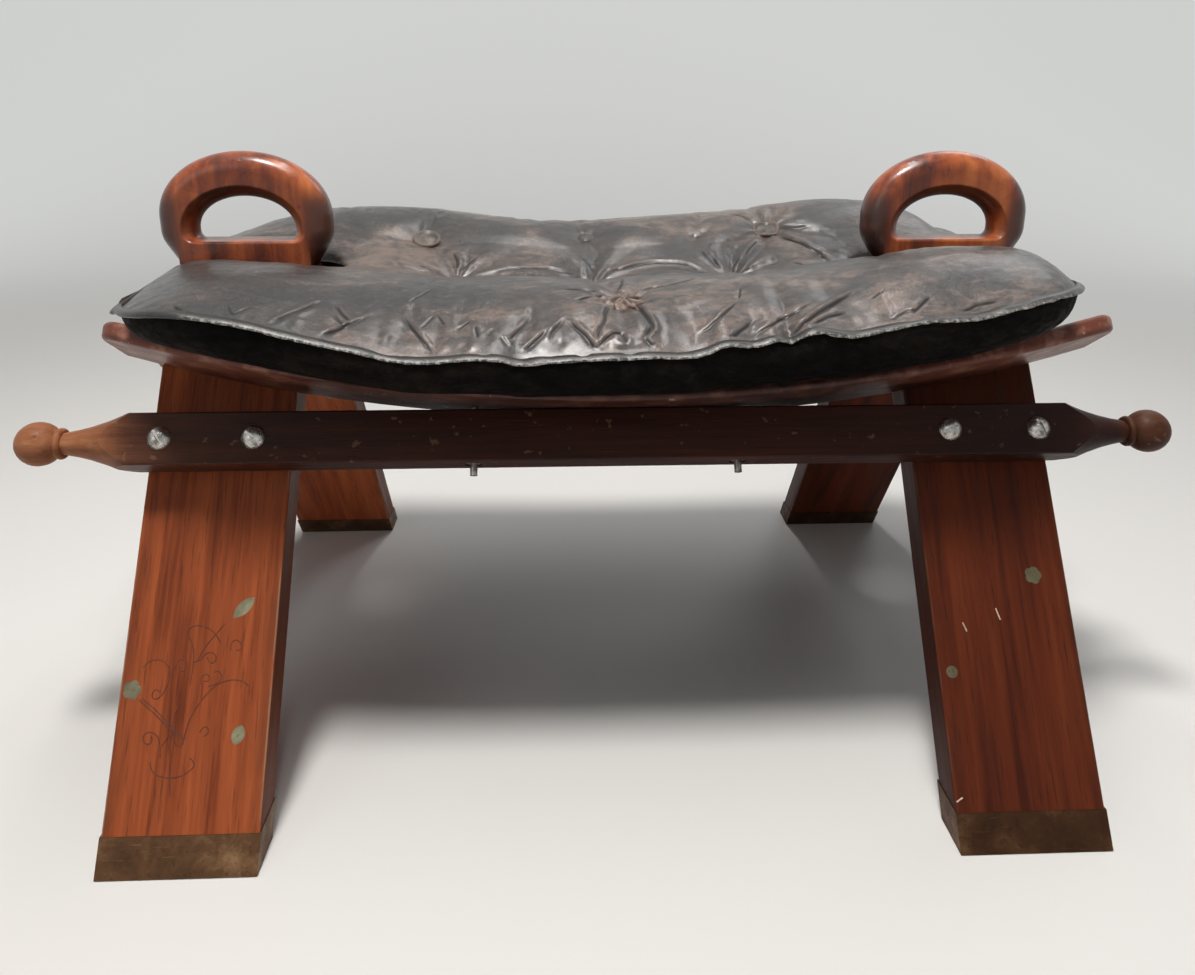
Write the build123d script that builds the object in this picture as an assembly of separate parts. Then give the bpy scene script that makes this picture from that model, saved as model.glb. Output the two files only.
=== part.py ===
"""Camel saddle stool: two A-frame ends with loop handles, joined by knobbed rails and curved
seat laths, with a tufted leather cushion that lifts off. Millimetres, +Z up, the front is -Y.
The origin is on the floor under the middle of the stool."""
from build123d import *
import math
import os

# Ends: each is a front and a back leg leaning against a handle plank
leg_spacing = 419.0
leg_width = 76.0
leg_thickness = 19.0
leg_lean_degrees = 33.0
leg_top_height = 260.0
leg_top_ledge = 10.0
leg_edge_round = 1.2

# Handle plank: a ring on a tongue
handle_thickness = 23.0
ring_overhang = 12.0
ring_height = 69.0
ring_spring_height = 31.0
ring_shoulder_height = 19.0
ring_shoulder_round = 18.0
ring_edge_flat = 2.0
ring_side_bar = 21.5
ring_top_bar = 26.0
finger_hole_floor = 17.5
finger_hole_side = 6.5
finger_hole_corner = 5.0
finger_hole_round = 1.5
flare_share = 0.325
tongue_below_joint = 8.0

# Dowels that pin the legs to the tongue
dowel_diameter = 9.0
dowel_edge_distance = 16.0
glue_clearance = 0.05

# Brass shoes round the feet
shoe_height = 15.5
shoe_wall = 1.2
shoe_proud = 0.4

# Rails with turned ends
rail_height = 28.0
rail_thickness = 23.0
rail_below_leg_top = 101.0
rail_square_beyond_legs = 2.5
rail_edge_round = 1.2
neck_diameter = 11.8
neck_run = 37.4
neck_curve_depth = 1.8
bead_diameter = 16.8
bead_width = 3.6
knob_diameter = 23.6
knob_seat_diameter = 13.0

# Screws that hold the rails on the legs
screw_diameter = 6.0
screw_head_diameter = 12.7
screw_head_height = 4.2
screw_slot_width = 1.3
screw_slot_depth = 1.7
screw_edge_distance = 13.75
screw_hole_clearance = 0.08
screw_beyond_nut = 2.0
screw_slot_turns_degrees = (-56.0, -34.0, 21.0, -69.0)
nut_across_flats = 10.0
nut_thickness = 5.0
washer_diameter = 12.5
washer_thickness = 1.2

# Curved seat laths on the rails
lath_beyond_legs = 28.5
lath_width = 38.0
lath_thickness = 10.0
lath_arc_radius = 1000.0
lath_sideways_shift = 7.0
lath_tip_round = 15.0
lath_edge_round = 3.0

# Long bolts through lath and rail
lath_bolt_diameter = 4.0
lath_bolt_spacing = 142.0
lath_bolt_head_diameter = 9.0
lath_bolt_head_height = 2.6
lath_bolt_head_sink = 0.5
lath_bolt_below_rail = 6.0
lath_nut_across_flats = 7.0
lath_nut_thickness = 3.2
lath_nut_recess_diameter = 9.5
lath_nut_recess_depth = 3.6

# Brass inlays in the legs' outer faces
inlay_depth = 0.8
leaf_length = 14.5
leaf_width = 6.2
petal_diameter = 4.6
petal_ring_diameter = 4.8
petal_count = 5
stud_diameter = 6.0
leaf_in_from_middle = 20.1
leaf_up_leg = 123.9
flower_out_from_middle = 31.8
flower_up_leg = 84.9
small_leaf_in_from_middle = 23.1
small_leaf_up_leg = 62.7
small_leaf_length = 9.4
small_leaf_width = 6.4
stud_up_leg = 84.8
stud_in_from_middle = 31.0
high_stud_out_from_middle = 20.1
high_stud_up_leg = 133.0
leaf_turn_degrees = 45.0
small_leaf_turn_degrees = 72.0

# Cushion: crowned pads before and behind a valley, swept up at both ends
cushion_end_setback = 2.5
cushion_depth = 258.0
cushion_clearance = 0.35
seam_over_laths = 20.5
seam_end_rise = 28.0
front_crown_height = 31.0
rear_crown_height = 41.0
valley_height = 20.0
underside_sag = 7.0
band_bulge = 3.0
leather_thickness = 2.2
stuffing_clearance = 0.2
notch_end_clearance = 4.5
notch_clearance = 1.5
welt_diameter = 4.6
welt_sink = 0.5
tuft_width = 44.0
tuft_depth = 7.5
button_diameter = 16.5
button_thickness = 4.2

# Shares of the cushion's own sizes, and of the welt's straight runs
crest_share = 0.60
slope_foot_share = 0.27
slope_height_share = 0.42
band_foot_share = 0.87
corner_draw_share = 0.27
end_fullness_share = 0.96
welt_bend_share = 0.45
station_shares = (-1.0, -0.965, -0.91, -0.82, -0.68, -0.5, -0.3, -0.1, 0.1, 0.3, 0.5, 0.68, 0.82, 0.91, 0.965, 1.0)
rear_tuft_shares = ((-0.45, 0.43), (-0.03, 0.43), (0.455, 0.43))
valley_tuft_shares = ((-0.355, 0.0), (-0.025, 0.0), (0.33, 0.0))
front_tuft_shares = ((0.037, -0.70),)

# Powers of the cushion's plan and side curves
seam_power = 1.5
crown_power = 4
crown_root = 0.8
corner_power = 14

cut_overrun = 5.0
match_tolerance = 0.01

# Values worked out from the sizes above
lean = math.radians(leg_lean_degrees)
lean_cos = math.cos(lean)
lean_sin = math.sin(lean)
lean_tan = math.tan(lean)
leg_middle = leg_spacing / 2
frame_length = leg_spacing + leg_width
ring_width = leg_width + 2 * ring_overhang
ring_edge_round = (handle_thickness - ring_edge_flat) / 2
finger_hole_width = ring_width - 2 * ring_side_bar
finger_hole_height = ring_height - finger_hole_floor - ring_top_bar
finger_hole_arch = finger_hole_height - finger_hole_side
finger_hole_flare = flare_share * ring_side_bar
dowel_spacing = leg_width - 2 * dowel_edge_distance
screw_spacing = leg_width - 2 * screw_edge_distance
rail_square_length = frame_length + 2 * rail_square_beyond_legs
lath_length = frame_length + 2 * lath_beyond_legs
cushion_length = frame_length - 2 * cushion_end_setback
plank_face = handle_thickness / 2
toe_reach = plank_face + leg_top_ledge + leg_top_height * lean_tan
rail_centre_up_leg = leg_top_height / lean_cos - rail_below_leg_top
rail_top = rail_centre_up_leg + rail_height / 2
rail_bottom = rail_centre_up_leg - rail_height / 2
rail_axis_out = rail_thickness / 2
bar_corner = math.hypot(rail_height / 2, rail_thickness / 2)

# The front legs' outer face: X along the stool, Y up the leg, Z out of the face
face_plane = Plane(origin=(0, -toe_reach, 0), x_dir=(1, 0, 0), z_dir=(0, -lean_cos, lean_sin))


def face_y(height, out):
    """Y of the plane that lies this far out from the front legs' outer face, at a height."""
    return -toe_reach + height * lean_tan - out / lean_cos


def prism(points, middle, width):
    """Solid of a YZ outline, centred on an X position."""
    outline = Plane.YZ * make_face(Polyline(*points, close=True))
    return Pos(middle, 0, 0) * extrude(outline, amount=width / 2, both=True)


def on_face(shape):
    """Place a shape drawn in the front legs' face frame."""
    return face_plane * shape


def to_back(shape):
    """The back half is the front half's mirror image."""
    return mirror(shape, about=Plane.XZ)


def leg_outline(out):
    """YZ outline of a front leg, with its faces moved outwards by a distance."""
    inner_meets_plank = (toe_reach - (leg_thickness + out) / lean_cos - plank_face) / lean_tan
    return [
        (face_y(0, out), 0),
        (face_y(0, -leg_thickness - out), 0),
        (-plank_face, inner_meets_plank),
        (-plank_face, leg_top_height),
        (face_y(leg_top_height, out), leg_top_height),
    ]


def foot_slice(out, bottom, top, middle, width):
    """Slice of a front foot between two heights, with its faces moved outwards."""
    points = [
        (face_y(bottom, out), bottom),
        (face_y(bottom, -leg_thickness - out), bottom),
        (face_y(top, -leg_thickness - out), top),
        (face_y(top, out), top),
    ]
    return prism(points, middle, width + 2 * out)


def round_long_edges(shape, radius, direction):
    """Round the straight edges that run along a direction."""
    edges = [e for e in shape.edges() if e.geom_type == GeomType.LINE]
    chosen = [e for e in edges if (e.tangent_at(0).cross(direction)).length < match_tolerance]
    return fillet(chosen, radius)


def on_plank_faces(body):
    """Edges that lie in the handle plank's two flat faces."""
    flat = [e for e in body.edges() if e.bounding_box().size.Y < match_tolerance]
    return [e for e in flat if abs(abs(e.center().Y) - plank_face) < match_tolerance]


def rod(diameter, start, end):
    """Round bar along Z between two heights."""
    return Pos(0, 0, (start + end) / 2) * Cylinder(diameter / 2, end - start)


def screw_places(middle):
    """The two screws of one leg, in the face frame."""
    return [(middle - screw_spacing / 2, rail_centre_up_leg), (middle + screw_spacing / 2, rail_centre_up_leg)]


def dowel_places(middle):
    """Centres of an end's two dowels, in X."""
    return [middle - dowel_spacing / 2, middle + dowel_spacing / 2]


def dowel_height():
    """The dowels cross the legs' joint at its mid height."""
    inner = (toe_reach - leg_thickness / lean_cos - plank_face) / lean_tan
    return (inner + leg_top_height) / 2


def dowel_bar(middle, diameter):
    """One straight bar through both legs and the tongue, along Y."""
    bar = Rot(90, 0, 0) * Cylinder(diameter / 2, 2 * toe_reach)
    return Pos(middle, 0, dowel_height()) * bar


def leaf(length, width):
    """Pointed oval made by two crossing circles, lying in XY with its tips on X."""
    radius = (length ** 2 + width ** 2) / (4 * width)
    shift = radius - width / 2
    return Pos(0, shift, 0) * Circle(radius) & Pos(0, -shift, 0) * Circle(radius)


def flower():
    """Ring of round petals round a middle."""
    face = Circle(petal_ring_diameter / 2)
    for turn in range(petal_count):
        face += Rot(0, 0, 360 / petal_count * turn) * Pos(petal_ring_diameter / 2, 0, 0) * Circle(petal_diameter / 2)
    return face


def inlay_faces(side):
    """Flat inlay shapes of one front leg, in the face frame."""
    middle = side * leg_middle
    if side < 0:
        big = Pos(middle + leaf_in_from_middle, leaf_up_leg) * Rot(0, 0, leaf_turn_degrees)
        small = Pos(middle + small_leaf_in_from_middle, small_leaf_up_leg) * Rot(0, 0, small_leaf_turn_degrees)
        blossom = Pos(middle - flower_out_from_middle, flower_up_leg)
        return [
            big * leaf(leaf_length, leaf_width),
            blossom * flower(),
            small * leaf(small_leaf_length, small_leaf_width),
        ]
    return [
        Pos(middle - stud_in_from_middle, stud_up_leg) * Circle(stud_diameter / 2),
        Pos(middle + high_stud_out_from_middle, high_stud_up_leg) * flower(),
    ]


def make_inlays(side):
    """Brass pieces let in flush with the leg's outer face."""
    return [on_face(extrude(face, amount=-inlay_depth)) for face in inlay_faces(side)]


def make_leg(side):
    """Front leg: plank with a mitred top, screw and dowel holes, inlay pockets and a cut-down foot."""
    middle = side * leg_middle
    up_leg = Vector(0, lean_sin, lean_cos)
    plank = prism(leg_outline(0), middle, leg_width)
    plank = round_long_edges(plank, leg_edge_round, up_leg)
    shoe_room = prism(
        [(-2 * toe_reach, -cut_overrun), (0, -cut_overrun), (0, shoe_height), (-2 * toe_reach, shoe_height)],
        middle, 2 * leg_width,
    )
    inner_out = shoe_proud - shoe_wall - glue_clearance
    core = foot_slice(inner_out, shoe_wall, shoe_height, middle, leg_width)
    plank = plank - shoe_room + core
    for x, y in screw_places(middle):
        hole = Cylinder(screw_diameter / 2 + screw_hole_clearance, 2 * leg_thickness + cut_overrun)
        plank -= on_face(Pos(x, y, -leg_thickness) * hole)
    for x in dowel_places(middle):
        plank -= dowel_bar(x, dowel_diameter + 2 * glue_clearance)
    for face in inlay_faces(side):
        plank -= on_face(extrude(face, amount=inlay_depth, both=True))
    return plank


def make_shoe(side):
    """Brass cap round a foot: four walls and a sole."""
    middle = side * leg_middle
    outside = foot_slice(shoe_proud, 0, shoe_height, middle, leg_width)
    inside = foot_slice(shoe_proud - shoe_wall, shoe_wall, shoe_height + cut_overrun, middle, leg_width)
    return outside - inside


def finger_hole_outline(grow):
    """Outline of the finger hole in XZ, with its sides and its arch moved outwards."""
    floor = leg_top_height + finger_hole_floor
    half = finger_hole_width / 2 + grow
    spring = floor + finger_hole_side
    lines = Polyline((-half, spring), (-half, floor), (half, floor), (half, spring))
    arch = EllipticalCenterArc((0, spring), half, finger_hole_arch + grow, 0, arc_size=180)
    face = make_face([*lines.edges(), *arch.edges()])
    low_corners = face.vertices().sort_by(Axis.Y)[:2]
    return Plane.XZ * fillet(low_corners, finger_hole_corner)


def finger_hole():
    """Finger hole that flares from the plank's middle to both of its faces, but for its flat floor."""
    mouth = finger_hole_outline(finger_hole_flare)
    throat = finger_hole_outline(0)
    return loft([Pos(0, -plank_face, 0) * mouth, throat, Pos(0, plank_face, 0) * mouth])


def make_handle(side):
    """Loop handle: a ring with a rounded edge on a tongue between the legs' tops."""
    middle = side * leg_middle
    foot = (toe_reach - leg_thickness / lean_cos - plank_face) / lean_tan - tongue_below_joint
    half_tongue = leg_width / 2
    half_ring = ring_width / 2
    spring = leg_top_height + ring_spring_height
    shoulder = leg_top_height + ring_shoulder_height
    right = Polyline(
        (-half_tongue, foot), (half_tongue, foot), (half_tongue, leg_top_height),
        (half_ring, shoulder), (half_ring, spring),
    )
    arch = EllipticalCenterArc((0, spring), half_ring, ring_height - ring_spring_height, 0, arc_size=180)
    left = Polyline(
        (-half_ring, spring), (-half_ring, shoulder), (-half_tongue, leg_top_height), (-half_tongue, foot),
    )
    outline = make_face([*right.edges(), *arch.edges(), *left.edges()])
    shoulders = [v for v in outline.vertices() if abs(v.Y - shoulder) < match_tolerance]
    outline = fillet(shoulders, ring_shoulder_round)
    body = extrude(Plane.XZ * outline, amount=plank_face, both=True)
    rim = [e for e in on_plank_faces(body) if e.bounding_box().min.Z > leg_top_height - match_tolerance]
    body = fillet(rim, ring_edge_round)
    body -= finger_hole()
    floor = leg_top_height + finger_hole_floor
    mouth_reach = finger_hole_width / 2 + finger_hole_flare + match_tolerance
    high = [e for e in on_plank_faces(body) if e.bounding_box().min.Z > floor - match_tolerance]
    mouths = [e for e in high if max(e.bounding_box().max.X, -e.bounding_box().min.X) < mouth_reach]
    body = fillet(mouths, finger_hole_round)
    body = Pos(middle, 0, 0) * body
    for x in dowel_places(middle):
        body -= dowel_bar(x, dowel_diameter + 2 * glue_clearance)
    return body


def make_dowels(side):
    """Two dowels trimmed flush with the legs' outer faces."""
    middle = side * leg_middle
    envelope = prism(
        [(face_y(0, 0), 0), (-face_y(0, 0), 0), (-face_y(leg_top_height, 0), leg_top_height),
         (face_y(leg_top_height, 0), leg_top_height)],
        middle, leg_width,
    )
    return [dowel_bar(x, dowel_diameter) & envelope for x in dowel_places(middle)]


def rail_blank():
    """Turned outline of a whole rail, revolved round its long axis."""
    neck_end = rail_square_length / 2 + neck_run
    neck = neck_diameter / 2
    bead_end = neck_end + bead_width
    knob = knob_diameter / 2
    seat = knob_seat_diameter / 2
    knob_middle = bead_end + math.sqrt(knob ** 2 - seat ** 2)
    square_end = rail_square_length / 2
    mid_run = (square_end + neck_end) / 2
    mid_radius = (bar_corner + neck) / 2 - neck_curve_depth
    half = [
        Line((0, 0), (0, bar_corner)),
        Line((0, bar_corner), (square_end, bar_corner)),
        ThreePointArc((square_end, bar_corner), (mid_run, mid_radius), (neck_end, neck)),
        ThreePointArc((neck_end, neck), (neck_end + bead_width / 2, bead_diameter / 2), (bead_end, seat)),
        ThreePointArc((bead_end, seat), (knob_middle, knob), (knob_middle + knob, 0)),
        Line((knob_middle + knob, 0), (0, 0)),
    ]
    end = revolve(make_face(half), Axis.X, 360)
    return end + mirror(end, about=Plane.YZ)


def make_rail():
    """Front rail: a square bar turned down to a knob at each end, on the legs' outer faces."""
    length = 2 * rail_square_length
    bar = Box(length, rail_height, rail_thickness)
    bar = round_long_edges(bar, rail_edge_round, Vector(1, 0, 0))
    shape = bar & rail_blank()
    rail = on_face(Pos(0, rail_centre_up_leg, rail_axis_out) * shape)
    for side in (-1, 1):
        for x, y in screw_places(side * leg_middle):
            hole = Cylinder(screw_diameter / 2 + screw_hole_clearance, 2 * rail_thickness)
            rail -= on_face(Pos(x, y, rail_axis_out) * hole)
        bolt_x = side * lath_bolt_spacing / 2
        along = Rot(90, 0, 0)
        bore = along * Cylinder(lath_bolt_diameter / 2 + screw_hole_clearance, 2 * rail_height)
        rail -= on_face(Pos(bolt_x, rail_centre_up_leg, rail_axis_out) * bore)
        recess = along * Cylinder(lath_nut_recess_diameter / 2, 2 * lath_nut_recess_depth)
        rail -= on_face(Pos(bolt_x, rail_bottom, rail_axis_out) * recess)
    return rail


def make_rail_screws(side, turns):
    """Two slotted round-head screws through rail and leg."""
    head_radius = screw_head_diameter / 2
    ball = (head_radius ** 2 + screw_head_height ** 2) / (2 * screw_head_height)
    dome = Pos(0, 0, screw_head_height - ball) * Sphere(ball)
    dome &= Pos(0, 0, screw_head_height / 2) * Cylinder(head_radius, screw_head_height)
    slot = Pos(0, 0, screw_head_height) * Box(2 * head_radius, screw_slot_width, 2 * screw_slot_depth)
    tail = rail_thickness + leg_thickness + washer_thickness + nut_thickness + screw_beyond_nut
    screws = []
    for (x, y), turn in zip(screw_places(side * leg_middle), turns):
        screw = (dome - Rot(0, 0, turn) * slot) + rod(screw_diameter, -tail, screw_head_height / 4)
        screws.append(on_face(Pos(x, y, rail_thickness) * screw))
    return screws


def make_rail_nuts(side):
    """Washer and hexagon nut on the leg's inner face, for each screw."""
    bore = Cylinder(screw_diameter / 2 + screw_hole_clearance, 4 * nut_thickness)
    washer = Cylinder(washer_diameter / 2, washer_thickness) - bore
    hexagon = RegularPolygon(nut_across_flats / 2, 6, major_radius=False)
    nut = extrude(hexagon, amount=nut_thickness / 2, both=True) - bore
    pieces = []
    for x, y in screw_places(side * leg_middle):
        pieces.append(on_face(Pos(x, y, -leg_thickness - washer_thickness / 2) * washer))
        pieces.append(on_face(Pos(x, y, -leg_thickness - washer_thickness - nut_thickness / 2) * nut))
    return pieces


def lath_underside(x):
    """Distance up the leg of the lath's underside at an X position."""
    return rail_top + lath_arc_radius - math.sqrt(lath_arc_radius ** 2 - (x - lath_sideways_shift) ** 2)


def lath_band(grow, depth_below):
    """Curved strip of a lath in the face frame, grown all round and thickened downwards."""
    centre = (lath_sideways_shift, rail_top + lath_arc_radius)
    outer = lath_arc_radius + depth_below
    inner = lath_arc_radius - lath_thickness - grow
    ring = Pos(*centre) * (Circle(outer) - Circle(inner))
    strip = extrude(ring, amount=lath_width + 2 * grow)
    strip = Pos(0, 0, -grow) * strip
    length = lath_length + 2 * grow
    width = lath_width + 2 * grow
    plan = RectangleRounded(length, 2 * width, lath_tip_round)
    plan_prism = extrude(Plane.XZ * plan, amount=lath_arc_radius / 2, both=True)
    low_half = Pos(lath_sideways_shift, rail_top, -grow) * plan_prism
    return strip & low_half


def make_lath():
    """Front seat lath: a shallow arc that rests on the rail and butts on the legs."""
    strip = lath_band(0, 0)
    top_and_bottom = [e for e in strip.edges() if e.geom_type == GeomType.CIRCLE]
    long_edges = [e for e in top_and_bottom if e.radius > lath_arc_radius / 2 and e.center().Z > lath_width / 2]
    strip = fillet(long_edges, lath_edge_round)
    for side in (-1, 1):
        x = side * lath_bolt_spacing / 2
        top = lath_underside(x) + lath_thickness
        along = Rot(-90, 0, 0)
        bore = along * Cylinder(lath_bolt_diameter / 2 + screw_hole_clearance, 4 * lath_thickness)
        sink = along * rod(lath_bolt_head_diameter + 2 * screw_hole_clearance,
                           -lath_bolt_head_height - lath_bolt_head_sink, cut_overrun)
        strip -= Pos(x, top, rail_axis_out) * bore
        strip -= Pos(x, top, rail_axis_out) * sink
    return on_face(strip)


def make_lath_bolts():
    """Two long bolts down through lath and rail, ends standing out below."""
    bolts = []
    for side in (-1, 1):
        x = side * lath_bolt_spacing / 2
        head_top = lath_underside(x) + lath_thickness - lath_bolt_head_sink
        head = rod(lath_bolt_head_diameter, -lath_bolt_head_height, 0)
        shank = rod(lath_bolt_diameter, rail_bottom - lath_bolt_below_rail - head_top, -lath_bolt_head_height / 2)
        bolt = Rot(-90, 0, 0) * (head + shank)
        bolts.append(on_face(Pos(x, head_top, rail_axis_out) * bolt))
    return bolts


def make_lath_nuts():
    """Hexagon nuts sunk in the rail's underside."""
    hexagon = RegularPolygon(lath_nut_across_flats / 2, 6, major_radius=False)
    nut = extrude(hexagon, amount=lath_nut_thickness / 2, both=True)
    nut -= Cylinder(lath_bolt_diameter / 2 + screw_hole_clearance, 2 * lath_nut_thickness)
    seat = rail_bottom + lath_nut_recess_depth - lath_nut_thickness / 2
    places = [side * lath_bolt_spacing / 2 for side in (-1, 1)]
    return [on_face(Pos(x, seat, rail_axis_out) * Rot(90, 0, 0) * nut) for x in places]


def seam_height(x):
    """Height of the cushion's seam at an X position."""
    share = abs(x) / (cushion_length / 2)
    return rest_height(0) + seam_over_laths + seam_end_rise * share ** seam_power


def crown_at(x, height):
    """What is left at an X position of a height over the seam that the cushion has in its middle."""
    share = abs(x) / (cushion_length / 2)
    return height * (1 - end_fullness_share * share ** crown_power) ** crown_root


def half_depth_at(x):
    """Half of the cushion's depth at an X position."""
    share = abs(x) / (cushion_length / 2)
    return cushion_depth / 2 * (1 - corner_draw_share * share ** corner_power)


def rest_height(x):
    """Height of the laths' front top edges at an X position, which the cushion lies on."""
    up = lath_underside(x + lath_sideways_shift) + lath_thickness
    return up * lean_cos + lath_width * lean_sin + cushion_clearance


def arc_height(a, b, c, y):
    """Height at y of the arc through three YZ points."""
    d = 2 * (a[0] * (b[1] - c[1]) + b[0] * (c[1] - a[1]) + c[0] * (a[1] - b[1]))
    sa = a[0] ** 2 + a[1] ** 2
    sb = b[0] ** 2 + b[1] ** 2
    sc = c[0] ** 2 + c[1] ** 2
    cy = (sa * (b[1] - c[1]) + sb * (c[1] - a[1]) + sc * (a[1] - b[1])) / d
    cz = (sa * (c[0] - b[0]) + sb * (a[0] - c[0]) + sc * (b[0] - a[0])) / d
    radius = math.hypot(a[0] - cy, a[1] - cz)
    rise = math.sqrt(radius ** 2 - (y - cy) ** 2)
    return cz + rise if b[1] > cz else cz - rise


def valley_point(x, inset):
    """Lowest YZ point of the cushion's top at an X position, drawn in by an inset."""
    return (0, seam_height(x) + crown_at(x, valley_height) - inset)


def pad_points(x, inset, height):
    """Edge, crest and inner foot of one pad at an X position: distance from the middle, and Z."""
    depth = half_depth_at(x) - inset
    low = valley_point(x, inset)[1]
    edge = (depth, seam_height(x) - inset / 2)
    crest = (crest_share * depth, seam_height(x) + crown_at(x, height) - inset)
    slope = (slope_foot_share * depth, low + slope_height_share * (crest[1] - low))
    return edge, crest, slope


def across(point):
    """The same point on the other side of the cushion's middle."""
    return (-point[0], point[1])


def section(x, inset, place):
    """Closed section face of the cushion at an X position, drawn as if it stood at another."""
    edge, rear_crest, rear_slope = pad_points(place, inset, rear_crown_height)
    front_crest, front_slope = pad_points(place, inset, front_crown_height)[1:]
    band_foot = (band_foot_share * edge[0], rest_height(place) + inset)
    band_middle = (edge[0] + band_bulge / 2, (2 * edge[1] + band_foot[1]) / 3)
    bottom = (0, rest_height(place) - underside_sag + inset)
    lines = [
        ThreePointArc(edge, rear_crest, rear_slope),
        ThreePointArc(rear_slope, valley_point(place, inset), across(front_slope)),
        ThreePointArc(across(front_slope), across(front_crest), across(edge)),
        ThreePointArc(across(edge), across(band_middle), across(band_foot)),
        ThreePointArc(across(band_foot), bottom, band_foot),
        ThreePointArc(band_foot, band_middle, edge),
    ]
    return Pos(x, 0, 0) * (Plane.YZ * make_face(lines))


def crown_surface(x, y):
    """Height of the cushion's top at a place in plan."""
    edge, rear_crest, rear_slope = pad_points(x, 0, rear_crown_height)
    front_crest, front_slope = pad_points(x, 0, front_crown_height)[1:]
    if y > rear_slope[0]:
        return arc_height(edge, rear_crest, rear_slope, y)
    if y < -front_slope[0]:
        return arc_height(edge, front_crest, front_slope, -y)
    return arc_height(rear_slope, valley_point(x, 0), across(front_slope), y)


def tuft_places():
    """Places of all tufts, in X and Y."""
    shares = rear_tuft_shares + valley_tuft_shares + front_tuft_shares
    return [(sx * cushion_length / 2, sy * cushion_depth / 2) for sx, sy in shares]


def tuft_frame(x, y):
    """Plane at a tuft, square to the cushion's top there."""
    step = tuft_width / 8
    slope_x = (crown_surface(x + step, y) - crown_surface(x - step, y)) / (2 * step)
    slope_y = (crown_surface(x, y + step) - crown_surface(x, y - step)) / (2 * step)
    return Plane(origin=(x, y, crown_surface(x, y)), z_dir=(-slope_x, -slope_y, 1))


def handle_notch(grow):
    """Room for the handle planks at both ends, open to the ends."""
    half = plank_face + notch_clearance + grow
    start = leg_middle - ring_width / 2 - notch_end_clearance - grow
    plan = Pos(start + half + cushion_length / 2, 0) * Rectangle(cushion_length, 2 * half)
    plan += Pos(start + half, 0) * Circle(half)
    slot = extrude(plan, amount=4 * leg_top_height)
    return slot + mirror(slot, about=Plane.YZ)


def frame_room(grow):
    """Space that the legs and the laths take out of the cushion's underside."""
    gap = cushion_clearance + grow
    top = leg_top_height + gap
    roof = [(face_y(0, gap), 0), (-face_y(0, gap), 0), (-face_y(top, gap), top), (face_y(top, gap), top)]
    room = []
    for side in (-1, 1):
        room.append(prism(roof, side * leg_middle, leg_width + 2 * gap))
    lath = on_face(lath_band(gap, lath_width))
    room.append(lath)
    room.append(to_back(lath))
    return room


def cushion_form(inset):
    """Tufted cushion solid, drawn in all round by an inset."""
    half = cushion_length / 2
    faces = [section(share * (half - inset), inset, share * half) for share in station_shares]
    form = loft(faces)
    form -= handle_notch(inset)
    for tool in frame_room(inset):
        form -= tool
    ball = ((tuft_width / 2) ** 2 + tuft_depth ** 2) / (2 * tuft_depth)
    for x, y in tuft_places():
        form -= tuft_frame(x, y) * Pos(0, 0, ball - tuft_depth) * Sphere(ball + inset)
    return form


def make_buttons():
    """Covered buttons seated in the tufts."""
    ball = ((tuft_width / 2) ** 2 + tuft_depth ** 2) / (2 * tuft_depth)
    radius = button_diameter / 2
    seat = ball - math.sqrt(ball ** 2 - radius ** 2) - tuft_depth
    cap_ball = (radius ** 2 + button_thickness ** 2) / (2 * button_thickness)
    cap = Pos(0, 0, button_thickness - cap_ball) * Sphere(cap_ball)
    cap &= Pos(0, 0, button_thickness / 2) * Cylinder(radius, button_thickness)
    return [tuft_frame(x, y) * Pos(0, 0, seat) * cap for x, y in tuft_places()]


def welt_route():
    """Points of the front welt: from notch to notch along the seam."""
    points = []
    half = cushion_length / 2
    mouth = plank_face + notch_clearance + welt_diameter
    out = welt_diameter / 2 - welt_sink
    for share in station_shares:
        x = share * half
        points.append((x, -half_depth_at(x) - out, seam_height(x)))
    end = seam_height(half)
    points[0] = (-half - out, -half_depth_at(half), end)
    points[-1] = (half + out, -half_depth_at(half), end)
    points.insert(0, (-half - out, -mouth, end))
    points.append((half + out, -mouth, end))
    return points


def make_welt():
    """Front welt: a round cord along the seam, on straight runs joined by tangent arcs."""
    points = [Vector(*p) for p in welt_route()]
    radii = []
    for before, here, after in zip(points, points[1:], points[2:]):
        turn = math.radians((here - before).get_angle(after - here))
        run = min((here - before).length, (after - here).length)
        radii.append(welt_bend_share * run / math.tan(turn / 2))
    path = FilletPolyline(*points, radius=radii)
    start = Plane(origin=path @ 0, z_dir=path % 0)
    return sweep(start * Circle(welt_diameter / 2), path=path)


def save(name, *solids):
    """Write one node; its pieces stay separate solids."""
    shape = solids[0] if len(solids) == 1 else Compound(children=list(solids))
    export_step(shape, f"parts/{name}.step")


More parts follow.
